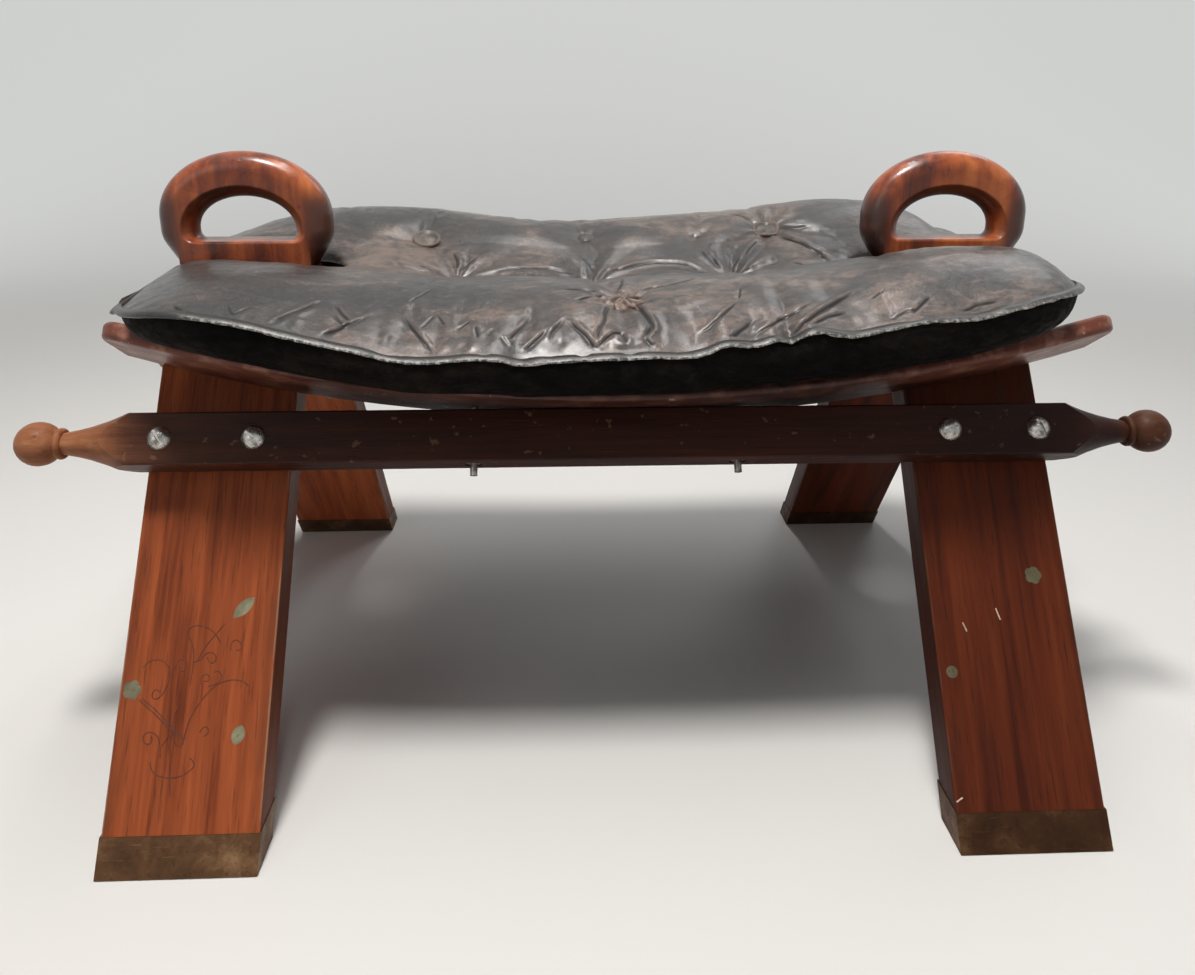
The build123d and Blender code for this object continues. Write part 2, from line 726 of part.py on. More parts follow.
def main():
    os.makedirs("parts", exist_ok=True)
    side_names = {-1: "left", 1: "right"}
    for side, word in side_names.items():
        leg = make_leg(side)
        shoe = make_shoe(side)
        inlays = make_inlays(side)
        turns = screw_slot_turns_degrees[:2] if side < 0 else screw_slot_turns_degrees[2:]
        screws = make_rail_screws(side, turns)
        nuts = make_rail_nuts(side)
        save(f"leg_front_{word}", leg)
        save(f"leg_back_{word}", to_back(leg))
        save(f"shoe_front_{word}", shoe)
        save(f"shoe_back_{word}", to_back(shoe))
        save(f"inlays_front_{word}", *inlays)
        save(f"inlays_back_{word}", *[to_back(piece) for piece in inlays])
        save(f"rail_screws_front_{word}", *screws)
        save(f"rail_screws_back_{word}", *[to_back(piece) for piece in screws])
        save(f"rail_nuts_front_{word}", *nuts)
        save(f"rail_nuts_back_{word}", *[to_back(piece) for piece in nuts])
        save(f"handle_{word}", make_handle(side))
        save(f"dowels_{word}", *make_dowels(side))
    rail = make_rail()
    lath = make_lath()
    bolts = make_lath_bolts()
    lath_nuts = make_lath_nuts()
    save("rail_front", rail)
    save("rail_back", to_back(rail))
    save("seat_lath_front", lath)
    save("seat_lath_back", to_back(lath))
    save("lath_bolts_front", *bolts)
    save("lath_bolts_back", *[to_back(piece) for piece in bolts])
    save("lath_nuts_front", *lath_nuts)
    save("lath_nuts_back", *[to_back(piece) for piece in lath_nuts])
    cover = cushion_form(0) - cushion_form(leather_thickness)
    welt = make_welt()
    save("cushion_cover", cover)
    save("cushion_stuffing", cushion_form(leather_thickness + stuffing_clearance))
    save("cushion_welt", welt, to_back(welt))
    save("cushion_buttons", *make_buttons())


main()
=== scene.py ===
"""Looks of the camel saddle stool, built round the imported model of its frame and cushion.
Cushion shapes are worked out in millimetres, in the frame's axes, and turned into metres when
a mesh is made. The front of the stool is -Y."""
import math
from itertools import product

import bpy
import numpy as np
from mathutils import Matrix, Vector
from mathutils.bvhtree import BVHTree
from mathutils.kdtree import KDTree


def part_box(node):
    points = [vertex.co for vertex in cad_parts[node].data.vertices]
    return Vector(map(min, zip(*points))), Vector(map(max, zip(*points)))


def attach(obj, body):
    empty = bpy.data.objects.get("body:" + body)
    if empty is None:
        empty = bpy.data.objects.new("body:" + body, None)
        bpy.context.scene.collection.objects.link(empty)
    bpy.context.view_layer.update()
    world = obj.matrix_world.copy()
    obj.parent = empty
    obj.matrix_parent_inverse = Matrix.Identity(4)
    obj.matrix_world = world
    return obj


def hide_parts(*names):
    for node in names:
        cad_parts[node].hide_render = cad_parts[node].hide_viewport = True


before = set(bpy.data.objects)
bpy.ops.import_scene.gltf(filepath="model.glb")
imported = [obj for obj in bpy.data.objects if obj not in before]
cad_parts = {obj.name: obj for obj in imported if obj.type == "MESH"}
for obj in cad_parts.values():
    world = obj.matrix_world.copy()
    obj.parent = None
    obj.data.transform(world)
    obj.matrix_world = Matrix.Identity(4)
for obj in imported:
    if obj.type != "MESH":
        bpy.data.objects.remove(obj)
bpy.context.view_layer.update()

MM = 0.001
SEED = 7

# The photograph's camera
PHOTO_WIDTH = 1195
PHOTO_HEIGHT = 975
FOCAL_PX = 898.0
PRINCIPAL_PX = (597.5, 350.0)
CAMERA_PLACE = Vector((-22.6, -542.5, 358.6))
CAMERA_PITCH = math.radians(15.63)
CAMERA_YAW = math.radians(2.25)
CAMERA_ROLL = math.radians(0.13)
SENSOR_WIDTH = 36.0


def camera_axes():
    """The camera's right, up and forward directions."""
    ahead = Vector((math.sin(CAMERA_YAW), math.cos(CAMERA_YAW), 0))
    side = Vector((math.cos(CAMERA_YAW), -math.sin(CAMERA_YAW), 0))
    forward = ahead * math.cos(CAMERA_PITCH) - Vector((0, 0, math.sin(CAMERA_PITCH)))
    rise = Vector((0, 0, math.cos(CAMERA_PITCH))) + ahead * math.sin(CAMERA_PITCH)
    right = side * math.cos(CAMERA_ROLL) + rise * math.sin(CAMERA_ROLL)
    up = rise * math.cos(CAMERA_ROLL) - side * math.sin(CAMERA_ROLL)
    return right, up, forward


def make_camera():
    right, up, forward = camera_axes()
    data = bpy.data.cameras.new("camera")
    data.sensor_width = SENSOR_WIDTH
    data.lens = FOCAL_PX * SENSOR_WIDTH / PHOTO_WIDTH
    data.shift_y = (PRINCIPAL_PX[1] - PHOTO_HEIGHT / 2) / PHOTO_WIDTH
    data.clip_start = 0.02
    camera = bpy.data.objects.new("camera", data)
    bpy.context.scene.collection.objects.link(camera)
    turn = Matrix((right, up, -forward)).transposed()
    camera.matrix_world = Matrix.Translation(CAMERA_PLACE * MM) @ turn.to_4x4()
    bpy.context.scene.camera = camera


def photo_place(points):
    """Where points, in millimetres, lie in the photograph, in its pixels."""
    right, up, forward = (np.array(axis) for axis in camera_axes())
    seen = points - np.array(CAMERA_PLACE)
    depth = seen @ forward
    across = PRINCIPAL_PX[0] + FOCAL_PX * (seen @ right) / depth
    down = PRINCIPAL_PX[1] - FOCAL_PX * (seen @ up) / depth
    return np.stack([across, down], axis=-1)


# Stage and light
FLOOR_COLOUR = (0.80, 0.79, 0.77)
BACKDROP_COLOUR = (0.58, 0.59, 0.58, 1)
BACKDROP_PAINT = (0.10, 0.10, 0.10)
BACKDROP_GLOW = 1.06
FLOOR_FRONT = -12.0
FLOOR_BACK = 1.3
BACKDROP_BEND = 0.9
BACKDROP_TOP = 3.5
STAGE_HALF_WIDTH = 12.0
STAGE_FADE = (0.8, 2.4)
STAGE_DROP = 0.0004
SKY_COLOUR = (0.93, 0.95, 0.96, 1)
SKY_STRENGTH = 0.12

# Lamps: name, place, aim, width, depth, power and colour
LAMPS = [
    ("key_lamp", (-0.22, -0.40, 1.75), (0, -0.02, 0.2), 0.32, 0.32, 22, (1.0, 0.975, 0.94)),
    ("fill_lamp", (-1.6, -1.9, 1.3), (0, 0, 0.15), 1.6, 1.6, 5.5, (1.0, 0.98, 0.96)),
    ("strip_lamp", (0.06, 0.0, 1.5), (0, 0, 0.2), 1.3, 0.12, 7, (1.0, 0.97, 0.95)),
    ("back_lamp", (1.1, 1.2, 1.6), (0, 0, 0.2), 1.0, 1.0, 5, (0.94, 0.97, 1.0)),
]


def link(item):
    bpy.context.scene.collection.objects.link(item)
    return item


def make_stage(material):
    """One pale sheet: floor, bend and backdrop."""
    bend = [(FLOOR_BACK + BACKDROP_BEND * math.sin(a), BACKDROP_BEND * (1 - math.cos(a)))
            for a in np.linspace(0, math.pi / 2, 24)]
    profile = [(FLOOR_FRONT, 0.0)] + bend + [(FLOOR_BACK + BACKDROP_BEND, BACKDROP_TOP)]
    points = [(x, y, z - STAGE_DROP) for y, z in profile for x in (-STAGE_HALF_WIDTH, STAGE_HALF_WIDTH)]
    faces = [(2 * i, 2 * i + 1, 2 * i + 3, 2 * i + 2) for i in range(len(profile) - 1)]
    mesh = bpy.data.meshes.new("stage")
    mesh.from_pydata(points, [], faces)
    mesh.polygons.foreach_set("use_smooth", [True] * len(faces))
    mesh.materials.append(material)
    link(bpy.data.objects.new("stage", mesh))


def make_lamp(name, place, aim, width, depth, power, colour):
    data = bpy.data.lights.new(name, "AREA")
    data.shape = "ELLIPSE"
    data.size = width
    data.size_y = depth
    data.energy = power
    data.color = colour
    lamp = link(bpy.data.objects.new(name, data))
    lamp.location = place
    lamp.rotation_mode = "QUATERNION"
    lamp.rotation_quaternion = (Vector(aim) - Vector(place)).to_track_quat("-Z", "Y")


def make_world():
    """Faint even light, and the backdrop's colour where the camera or gloss sees past the stage."""
    world = bpy.data.worlds.new("studio")
    world.use_nodes = True
    nodes, links = world.node_tree.nodes, world.node_tree.links
    light, seen = nodes["Background"], nodes.new("ShaderNodeBackground")
    for source, colour, strength in ((light, SKY_COLOUR, SKY_STRENGTH),
                                     (seen, BACKDROP_COLOUR, BACKDROP_GLOW)):
        source.inputs["Color"].default_value = colour
        source.inputs["Strength"].default_value = strength
    path = nodes.new("ShaderNodeLightPath")
    either = nodes.new("ShaderNodeMath")
    either.operation = "MAXIMUM"
    choose = nodes.new("ShaderNodeMixShader")
    links.new(path.outputs["Is Camera Ray"], either.inputs[0])
    links.new(path.outputs["Is Glossy Ray"], either.inputs[1])
    for index, source in enumerate((either, light, seen)):
        links.new(source.outputs[0], choose.inputs[index])
    links.new(choose.outputs[0], nodes["World Output"].inputs["Surface"])
    bpy.context.scene.world = world
    bpy.context.scene.view_settings.view_transform = "Standard"


class Paint:
    """Builds one node material, with short calls for the nodes that most of them use."""

    def __init__(self, name, **constants):
        self.material = bpy.data.materials.new(name)
        self.material.use_nodes = True
        self.tree = self.material.node_tree
        self.shader = self.tree.nodes["Principled BSDF"]
        self.place = self.tree.nodes.new("ShaderNodeTexCoord").outputs["Object"]
        for key, value in constants.items():
            self.shader.inputs[key.replace("_", " ")].default_value = value

    def put(self, socket, value):
        if isinstance(value, bpy.types.NodeSocket):
            self.tree.links.new(value, socket)
        else:
            socket.default_value = value

    def node(self, kind, inputs, **settings):
        made = self.tree.nodes.new("ShaderNode" + kind)
        for key, value in settings.items():
            setattr(made, key, value)
        for key, value in inputs.items():
            self.put(made.inputs[key], value)
        return made

    def turned(self, degrees_x):
        """The place, turned about X."""
        turn = (math.radians(degrees_x), 0, 0)
        return self.node("Mapping", {"Vector": self.place, "Rotation": turn}).outputs[0]

    def scaled(self, place, scale):
        return self.node("Mapping", {"Vector": place, "Scale": scale}).outputs[0]

    def noise(self, place, scale, detail=4.0, roughness=0.55, distortion=0.0):
        return self.node("TexNoise", {"Vector": place, "Scale": scale, "Detail": detail,
                                      "Roughness": roughness, "Distortion": distortion}).outputs[0]

    def cells(self, place, scale, feature="F1"):
        return self.node("TexVoronoi", {"Vector": place, "Scale": scale}, feature=feature).outputs["Distance"]

    def math(self, operation, first, second=0.0, third=0.0):
        return self.node("Math", {0: first, 1: second, 2: third}, operation=operation).outputs[0]

    def size(self, value):
        """The value without its sign."""
        return self.math("ABSOLUTE", value)

    def times(self, first, *others):
        for other in others:
            first = self.math("MULTIPLY", first, other)
        return first

    def sum(self, *parts):
        """Sum of values, each times its share."""
        (value, share), *rest = parts
        if not rest:
            return self.times(value, share)
        return self.math("MULTIPLY_ADD", value, share, self.sum(*rest))

    def fit(self, value, low, high, to_low=0.0, to_high=1.0):
        """Map a range smoothly to another, held at its ends."""
        return self.node("MapRange", {"Value": value, "From Min": low, "From Max": high, "To Min": to_low,
                                      "To Max": to_high}, interpolation_type="SMOOTHSTEP").outputs[0]

    def ramp(self, value, *stops):
        made = self.node("ValToRGB", {"Fac": value})
        elements = made.color_ramp.elements
        while len(elements) < len(stops):
            elements.new(0.5)
        for element, (position, colour) in zip(elements, stops):
            element.position = position
            element.color = (*colour, 1)
        return made.outputs[0]

    def mix(self, factor, first, second, blend="MIX"):
        made = self.node("Mix", {0: factor}, data_type="RGBA", blend_type=blend)
        for index, value in ((6, first), (7, second)):
            self.put(made.inputs[index], (*value, 1) if isinstance(value, tuple) else value)
        return made.outputs[2]

    def tint(self, colour, where, strength, other):
        """Turn a colour towards another where a mask is high."""
        return self.mix(self.times(where, strength), colour, other)

    def axis(self, place, name):
        return self.node("SeparateXYZ", {0: place}).outputs[name]

    def facing(self, name):
        """How far the surface faces along an axis."""
        return self.axis(self.node("NewGeometry", {}).outputs["Normal"], name)

    def attribute(self, name):
        return self.node("Attribute", {}, attribute_name=name).outputs["Fac"]

    def finish(self, colour, roughness=None, height=None, bump_distance=0.001, bump_strength=1.0):
        self.put(self.shader.inputs["Base Color"], colour)
        if roughness is not None:
            self.put(self.shader.inputs["Roughness"], roughness)
        if height is not None:
            bump = self.node("Bump", {"Height": height, "Distance": bump_distance, "Strength": bump_strength})
            self.put(self.shader.inputs["Normal"], bump.outputs[0])
        return self.material


# Places of the frame that wear follows, in metres, and its angles
LEG_LOW, LEG_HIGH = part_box("leg_front_right")
LEG_MIDDLE = (LEG_LOW.x + LEG_HIGH.x) / 2
LEG_HALF_WIDTH = (LEG_HIGH.x - LEG_LOW.x) / 2
LEG_LEAN_DEGREES = 33.0
SCREW_TURN_DEGREES = -57.0

# Noise that makes pores, where along X the right end begins, how far its legs are darkened as darker wood
# and as painted shade, and its brass as painted shade
PORE_RANGE = (0.60, 0.72)
MIDDLE_RANGE = (-0.05, 0.05)
RIGHT_LEG_WOOD_AND_SHADE_SHARE = 0.85
RIGHT_LEG_WOOD_AND_SHADE = (0.19, 0.115, 0.095)
RIGHT_BRASS_PAINTED_SHADE = (0.40, 0.32, 0.26)


def grain(paint, along, across_scale, along_scale, pore_range=PORE_RANGE):
    """Streaks of wood grain: long noise at two scales and short dark pores."""
    scales = [(across_scale * across, across_scale * across, along_scale * run)
              for across, run in ((1, 1), (0.22, 0.35), (5, 6))]
    fine = paint.noise(paint.scaled(along, scales[0]), 1.0, 5, 0.6, 0.35)
    broad = paint.noise(paint.scaled(along, scales[1]), 1.0, 3, 0.5, 1.1)
    pores = paint.noise(paint.scaled(along, scales[2]), 1.0, 2, 0.5)
    return fine, broad, paint.fit(pores, *pore_range)


def lengthwise(paint):
    """The place with X and Z changed over, for grain that runs along X."""
    x, y, z = (paint.axis(paint.place, name) for name in "XYZ")
    return x, paint.node("CombineXYZ", {"X": z, "Y": y, "Z": x}).outputs[0]


def leg_wood(name, lean_sign):
    """Oiled wood with a straight grain up the leg, and painted shade on its side faces. The right end's legs
    are darker, partly as darker wood and partly as painted shade.
    """
    paint = Paint(name, Coat_Weight=0.0, Specular_IOR_Level=0.16)
    along = paint.turned(lean_sign * LEG_LEAN_DEGREES)
    fine, broad, pores = grain(paint, along, 210, 9)
    colour = paint.ramp(paint.sum((broad, 0.5), (fine, 0.5)),
                        (0.36, (0.13, 0.026, 0.008)), (0.46, (0.27, 0.061, 0.019)),
                        (0.56, (0.37, 0.088, 0.027)), (0.66, (0.47, 0.128, 0.042)))
    colour = paint.tint(colour, pores, 0.5, (0.07, 0.022, 0.010))
    x = paint.axis(paint.place, "X")
    from_middle = paint.size(paint.math("SUBTRACT", paint.size(x), LEG_MIDDLE))
    from_edge = paint.math("SUBTRACT", LEG_HALF_WIDTH, from_middle)
    sideways = paint.size(paint.facing("X"))
    on_face = paint.fit(sideways, 0.95, 0.6)
    patches = paint.noise(paint.scaled(along, (60, 60, 20)), 1.0, 3, 0.6)
    grime = paint.times(paint.fit(from_edge, 0.012, 0.0), paint.fit(patches, 0.35, 0.65), on_face)
    colour = paint.tint(colour, grime, 0.5, (0.10, 0.035, 0.016))
    edge = paint.times(paint.fit(from_edge, 0.0014, 0.0004), paint.fit(patches, 0.42, 0.55), on_face)
    colour = paint.tint(colour, edge, 0.6, (0.50, 0.30, 0.19))
    # Painted shade: the legs' side faces are darkened
    colour = paint.tint(colour, paint.fit(sideways, 0.6, 0.95), 0.7, (0.035, 0.009, 0.005))
    # The right end's legs are darkened, partly as darker wood and partly as painted shade
    darker_wood_and_shade = paint.mix(1.0, colour, RIGHT_LEG_WOOD_AND_SHADE, "MULTIPLY")
    colour = paint.tint(colour, paint.fit(x, *MIDDLE_RANGE), RIGHT_LEG_WOOD_AND_SHADE_SHARE, darker_wood_and_shade)
    rough = paint.fit(fine, 0.3, 0.7, 0.46, 0.62)
    return paint.finish(colour, rough, paint.sum((fine, 0.5), (pores, -1)), 0.00025, 0.5)


def handle_wood():
    """Hand-polished red-brown wood: orange where it is rubbed, dark with patina on the shoulders' lower
    sides, and painted shade on faces that look down.
    """
    paint = Paint("handle_wood", Coat_Weight=0.45, Coat_Roughness=0.18, Specular_IOR_Level=0.35)
    fine, broad, pores = grain(paint, paint.place, 160, 14, (0.62, 0.72))
    mottle = paint.noise(paint.place, 45, 5, 0.65, 0.8)
    colour = paint.ramp(paint.sum((broad, 0.45), (fine, 0.3), (mottle, 0.25)),
                        (0.38, (0.055, 0.010, 0.004)), (0.46, (0.20, 0.036, 0.010)),
                        (0.54, (0.38, 0.085, 0.020)), (0.64, (0.56, 0.160, 0.040)))
    x = paint.axis(paint.place, "X")
    from_middle = paint.size(paint.math("SUBTRACT", paint.size(x), LEG_MIDDLE))
    side = paint.fit(paint.sum((mottle, 0.010), (from_middle, 1)), 0.036, 0.047)
    low = paint.fit(paint.axis(paint.place, "Z"), 0.312, 0.296)
    colour = paint.tint(colour, paint.times(side, low), 0.85, (0.045, 0.016, 0.011))
    # Painted shade: faces that look down, such as the top of the finger hole, are darkened
    colour = paint.tint(colour, paint.fit(paint.facing("Z"), -0.15, -0.75), 0.85, (0.018, 0.005, 0.003))
    blotch = paint.fit(paint.noise(paint.place, 22, 3, 0.6), 0.50, 0.66)
    colour = paint.tint(colour, blotch, 0.45, (0.075, 0.020, 0.011))
    rough = paint.fit(mottle, 0.3, 0.7, 0.26, 0.42)
    return paint.finish(colour, rough, paint.sum((mottle, 0.6), (pores, -1)), 0.00022, 0.35)


def rail_wood():
    """Red-brown rail, dark along its middle and darker still towards its right end as painted shade from the
    cushion, and paler at its left end and a little at its right knob as painted light, with dents in the
    knobs.
    """
    paint = Paint("rail_wood", Coat_Weight=0.02, Coat_Roughness=0.28, Specular_IOR_Level=0.14)
    x, along = lengthwise(paint)
    fine, broad, pores = grain(paint, along, 240, 12)
    streaks = paint.sum((broad, 0.5), (fine, 0.5))
    # Painted shade: the rail's colour is made dark, as in the cushion's shadow
    colour = paint.ramp(streaks, (0.34, (0.016, 0.004, 0.0025)), (0.50, (0.034, 0.009, 0.005)),
                        (0.66, (0.060, 0.017, 0.010)))
    pale = paint.ramp(streaks, (0.34, (0.20, 0.065, 0.028)), (0.52, (0.34, 0.130, 0.058)),
                      (0.68, (0.50, 0.24, 0.12)))
    mottle = paint.noise(paint.place, 60, 4, 0.6)
    # Stretches along X: painted light at the left end and right knob beyond the cushion's shadow, painted
    # shade towards the right end
    lit_and_shaded_stretches = ((0.02, -0.235, -0.262, 0.85, pale), (0.03, -0.150, -0.235, 0.12, pale),
                 (-0.03, 0.130, 0.200, 0.6, (0.008, 0.002, 0.0015)), (-0.02, 0.265, 0.290, 0.16, pale))
    for ragged, start, full, strength, tone in lit_and_shaded_stretches:
        where = paint.fit(paint.sum((mottle, ragged), (x, 1)), start, full)
        colour = paint.tint(colour, where, strength, tone)
    marks = paint.fit(paint.noise(paint.place, 170, 2, 0.5), 0.66, 0.74)
    colour = paint.tint(colour, marks, 0.35, (0.30, 0.17, 0.11))
    on_knob = paint.fit(paint.size(x), 0.285, 0.291)
    dents = paint.times(paint.fit(paint.cells(paint.place, 90), 0.0, 0.16, 1.0, 0.0), on_knob)
    colour = paint.tint(colour, dents, 0.6, (0.03, 0.012, 0.008))
    height = paint.sum((fine, 0.5), (pores, -1), (dents, -2.5))
    return paint.finish(colour, paint.fit(fine, 0.3, 0.7, 0.40, 0.54), height, 0.00028, 0.5)


def lath_wood():
    """Dark lath with rubbed, slightly paler edges, ends painted paler as painted light, and a fine grain
    along its length.
    """
    paint = Paint("lath_wood", Coat_Weight=0.10, Coat_Roughness=0.3, Specular_IOR_Level=0.25)
    x, along = lengthwise(paint)
    fine, broad, pores = grain(paint, along, 260, 14)
    colour = paint.ramp(paint.sum((broad, 0.5), (fine, 0.5)), (0.34, (0.022, 0.006, 0.004)),
                        (0.50, (0.050, 0.014, 0.009)), (0.66, (0.090, 0.028, 0.018)))
    # Painted light: the ends, clear of the cushion's shade, are painted paler than the middle
    end = paint.fit(paint.size(x), 0.13, 0.21)
    colour = paint.tint(colour, end, 0.65, (0.20, 0.058, 0.034))
    rub = paint.fit(paint.noise(paint.place, 70, 4, 0.65), 0.46, 0.66)
    rub = paint.times(rub, paint.math("MULTIPLY_ADD", end, 0.6, 0.2))
    colour = paint.mix(rub, colour, (0.34, 0.16, 0.11))
    chips = paint.fit(paint.noise(paint.place, 210, 2, 0.5), 0.69, 0.74)
    colour = paint.tint(colour, chips, 0.6, (0.42, 0.30, 0.24))
    rough = paint.fit(fine, 0.3, 0.7, 0.36, 0.52)
    return paint.finish(colour, rough, paint.sum((fine, 0.5), (pores, -1)), 0.0003, 0.5)


def dowel_wood():
    """Pale end grain of the dowels, with rings."""
    paint = Paint("dowel_wood", Roughness=0.6)
    rings = paint.noise(paint.scaled(paint.place, (400, 30, 400)), 1.0, 4, 0.6, 0.6)
    colour = paint.ramp(rings, (0.35, (0.16, 0.075, 0.035)), (0.65, (0.36, 0.20, 0.10)))
    return paint.finish(colour, None, rings, 0.0002, 0.4)


def tarnished_brass(name, dull, bright, shine, right_painted_shade):
    """Brass under a dull brown-green tarnish, brighter in scratches and rubbed patches, and darkened towards
    the right end as painted shade.
    """
    paint = Paint(name, Metallic=0.85)
    clouds = paint.noise(paint.place, 55, 5, 0.65, 0.4)
    scratch_place = paint.scaled(paint.turned(20), (60, 900, 900))
    scratches = paint.fit(paint.noise(scratch_place, 1.0, 3, 0.6), 0.64, 0.72)
    colour = paint.ramp(clouds, (0.32, tuple(0.6 * c for c in dull)), (0.52, dull), (0.74, bright))
    colour = paint.tint(colour, scratches, shine, bright)
    speckle = paint.fit(paint.noise(paint.place, 420, 3, 0.6), 0.58, 0.70)
    colour = paint.tint(colour, speckle, 0.5, tuple(0.35 * c for c in dull))
    # Painted shade: the brass of the right end is darkened
    right = paint.fit(paint.axis(paint.place, "X"), *MIDDLE_RANGE, 0, right_painted_shade)
    colour = paint.mix(right, colour, paint.mix(1.0, colour, RIGHT_BRASS_PAINTED_SHADE, "MULTIPLY"))
    rough = paint.fit(clouds, 0.3, 0.7, 0.62, 0.44)
    return paint.finish(colour, rough, paint.sum((clouds, 1), (speckle, 1)), 0.00018, 0.4)


def worn_steel(name, light, dark):
    """Plated steel with fine scratches and grime in patches."""
    paint = Paint(name, Metallic=1.0)
    clouds = paint.noise(paint.place, 260, 4, 0.6)
    scratch_place = paint.scaled(paint.turned(SCREW_TURN_DEGREES), (3000, 220, 3000))
    scratches = paint.noise(scratch_place, 1.0, 2, 0.5)
    bright = tuple(min(1, 1.25 * c) for c in light)
    colour = paint.ramp(clouds, (0.36, dark), (0.56, light), (0.75, bright))
    return paint.finish(colour, paint.fit(scratches, 0.35, 0.65, 0.24, 0.42), scratches, 0.00004, 0.5)


# Leathers: their dark, middle and worn tones, the tones of scuffs, and the painted shade at the bottoms of
# creases
COVER_TONES = ((0.008, 0.005, 0.0045), (0.026, 0.017, 0.0135), (0.165, 0.112, 0.088))
# The band is black leather painted darker still, as painted shade where it faces down and away from the lamps
BAND_TONES_AND_SHADE = ((0.002, 0.0015, 0.0015), (0.004, 0.003, 0.003), (0.012, 0.009, 0.007))
BUTTON_TONES = ((0.022, 0.017, 0.015), (0.050, 0.038, 0.032), (0.15, 0.11, 0.085))
CRUMPLED_TONES = ((0.030, 0.018, 0.014), (0.11, 0.066, 0.048), (0.34, 0.24, 0.19))
SCUFF = (0.165, 0.100, 0.075)
CREASE_PAINTED_SHADE = (0.003, 0.0025, 0.0025)


def leather(name, tones, crease_colour, gloss, specular=0.6, rough_range=(0.22, 0.50)):
    """Glossy worn leather: cloudy wear in three tones, fine grain and cracks, with the creases that its
    mesh carries, darkened along their bottoms as painted shade."""
    paint = Paint(name, Coat_Weight=gloss, Coat_Roughness=0.28, Specular_IOR_Level=specular)
    dark, mid, worn = tones
    clouds = paint.noise(paint.scaled(paint.place, (1.0, 1.5, 1.5)), 11, 5, 0.6, 0.6)
    smudges = paint.noise(paint.scaled(paint.place, (1.0, 2.2, 2.2)), 42, 5, 0.7, 1.2)
    flecks = paint.noise(paint.place, 240, 4, 0.75, 0.8)
    tone = paint.sum((flecks, 0.20), (clouds, 0.45), (smudges, 0.35))
    colour = paint.ramp(tone, (0.43, dark), (0.505, mid), (0.58, worn))
    dapple = paint.noise(paint.scaled(paint.place, (1.0, 1.6, 1.6)), 120, 4, 0.6, 0.4)
    handled = paint.times(paint.fit(dapple, 0.50, 0.64), paint.fit(clouds, 0.42, 0.58))
    colour = paint.tint(colour, handled, 0.4, worn)
    pebbles = paint.fit(paint.cells(paint.place, 1500, "DISTANCE_TO_EDGE"), 0.0, 0.18)
    drift = paint.node("TexNoise", {"Vector": paint.place, "Scale": 60.0, "Detail": 3.0}).outputs[1]
    drift = paint.node("VectorMath", {0: drift, 1: (0.012, 0.012, 0.012)}, operation="MULTIPLY").outputs[0]
    warp = paint.node("VectorMath", {0: paint.place, 1: drift}, operation="ADD").outputs[0]
    cracks = paint.times(paint.fit(paint.cells(warp, 95, "DISTANCE_TO_EDGE"), 0.035, 0.0),
                         paint.fit(smudges, 0.50, 0.66))
    fine_cracks = paint.times(paint.fit(paint.cells(warp, 330, "DISTANCE_TO_EDGE"), 0.05, 0.0),
                              paint.fit(clouds, 0.46, 0.62))
    colour = paint.tint(colour, cracks, 0.55, crease_colour)
    colour = paint.tint(colour, fine_cracks, 0.35, crease_colour)
    crease_shade, rub, scuff = (paint.attribute(value) for value in ("crease_shade", "rub", "scuff"))
    colour = paint.tint(colour, rub, 0.75, worn)
    colour = paint.tint(colour, scuff, paint.fit(smudges, 0.38, 0.60), SCUFF)
    # Painted shade along the bottoms of the creases
    colour = paint.mix(paint.fit(crease_shade, 0.05, 0.5, 0, 0.95), colour, CREASE_PAINTED_SHADE)
    puckers = paint.noise(warp, 260, 6, 0.68, 0.5)
    height = paint.sum((pebbles, 0.35), (cracks, -1.2), (fine_cracks, -0.6), (smudges, 1.4), (puckers, 1.5),
                       (dapple, 2.2))
    rough = paint.math("MAXIMUM", paint.fit(dapple, 0.38, 0.62, *rough_range),
                       paint.fit(crease_shade, 0.05, 0.6, 0.3, 1.0))
    return paint.finish(colour, rough, height, 0.0006, 0.65)


def piping_leather():
    """Black piping whose raw edge is worn to silvery fibres."""
    paint = Paint("piping_leather", Coat_Weight=0.25, Coat_Roughness=0.25)
    clouds = paint.noise(paint.place, 90, 4, 0.6)
    colour = paint.ramp(clouds, (0.35, (0.008, 0.007, 0.007)), (0.65, (0.035, 0.030, 0.027)))
    fray = paint.noise(paint.place, 700, 4, 0.7)
    edge = paint.times(paint.attribute("worn_edge"), paint.fit(fray, 0.40, 0.56))
    pale = paint.ramp(fray, (0.35, (0.30, 0.27, 0.24)), (0.65, (0.72, 0.69, 0.64)))
    colour = paint.mix(edge, colour, pale)
    return paint.finish(colour, paint.fit(edge, 0, 1, 0.34, 0.7), fray, 0.0005, 0.6)


def clouded_paint(name, low, high, scale, roughness):
    paint = Paint(name, Roughness=roughness)
    cloud = paint.noise(paint.place, scale, 4, 0.6)
    return paint.finish(paint.ramp(cloud, (0.3, low), (0.7, high)), None, cloud, 0.0003, 0.3)


def floor_material():
    """Pale floor. Far from the stool it shows the backdrop's colour by itself, to the camera, in gloss and
    through glass."""
    paint = Paint("stage_paint", Roughness=0.85)
    cloud = paint.noise(paint.place, 3, 3, 0.5)
    colour = paint.ramp(cloud, (0.3, tuple(0.985 * c for c in FLOOR_COLOUR)), (0.7, FLOOR_COLOUR))
    path = paint.node("LightPath", {})
    seen = path.outputs["Is Camera Ray"]
    for ray in ("Is Glossy Ray", "Is Transmission Ray"):
        seen = paint.math("MAXIMUM", seen, path.outputs[ray])
    away = paint.node("VectorMath", {0: paint.place}, operation="LENGTH").outputs["Value"]
    far = paint.fit(away, *STAGE_FADE)
    paint.put(paint.shader.inputs["Emission Strength"], paint.times(seen, far))
    paint.shader.inputs["Emission Color"].default_value = BACKDROP_COLOUR
    return paint.finish(paint.mix(far, colour, BACKDROP_PAINT))


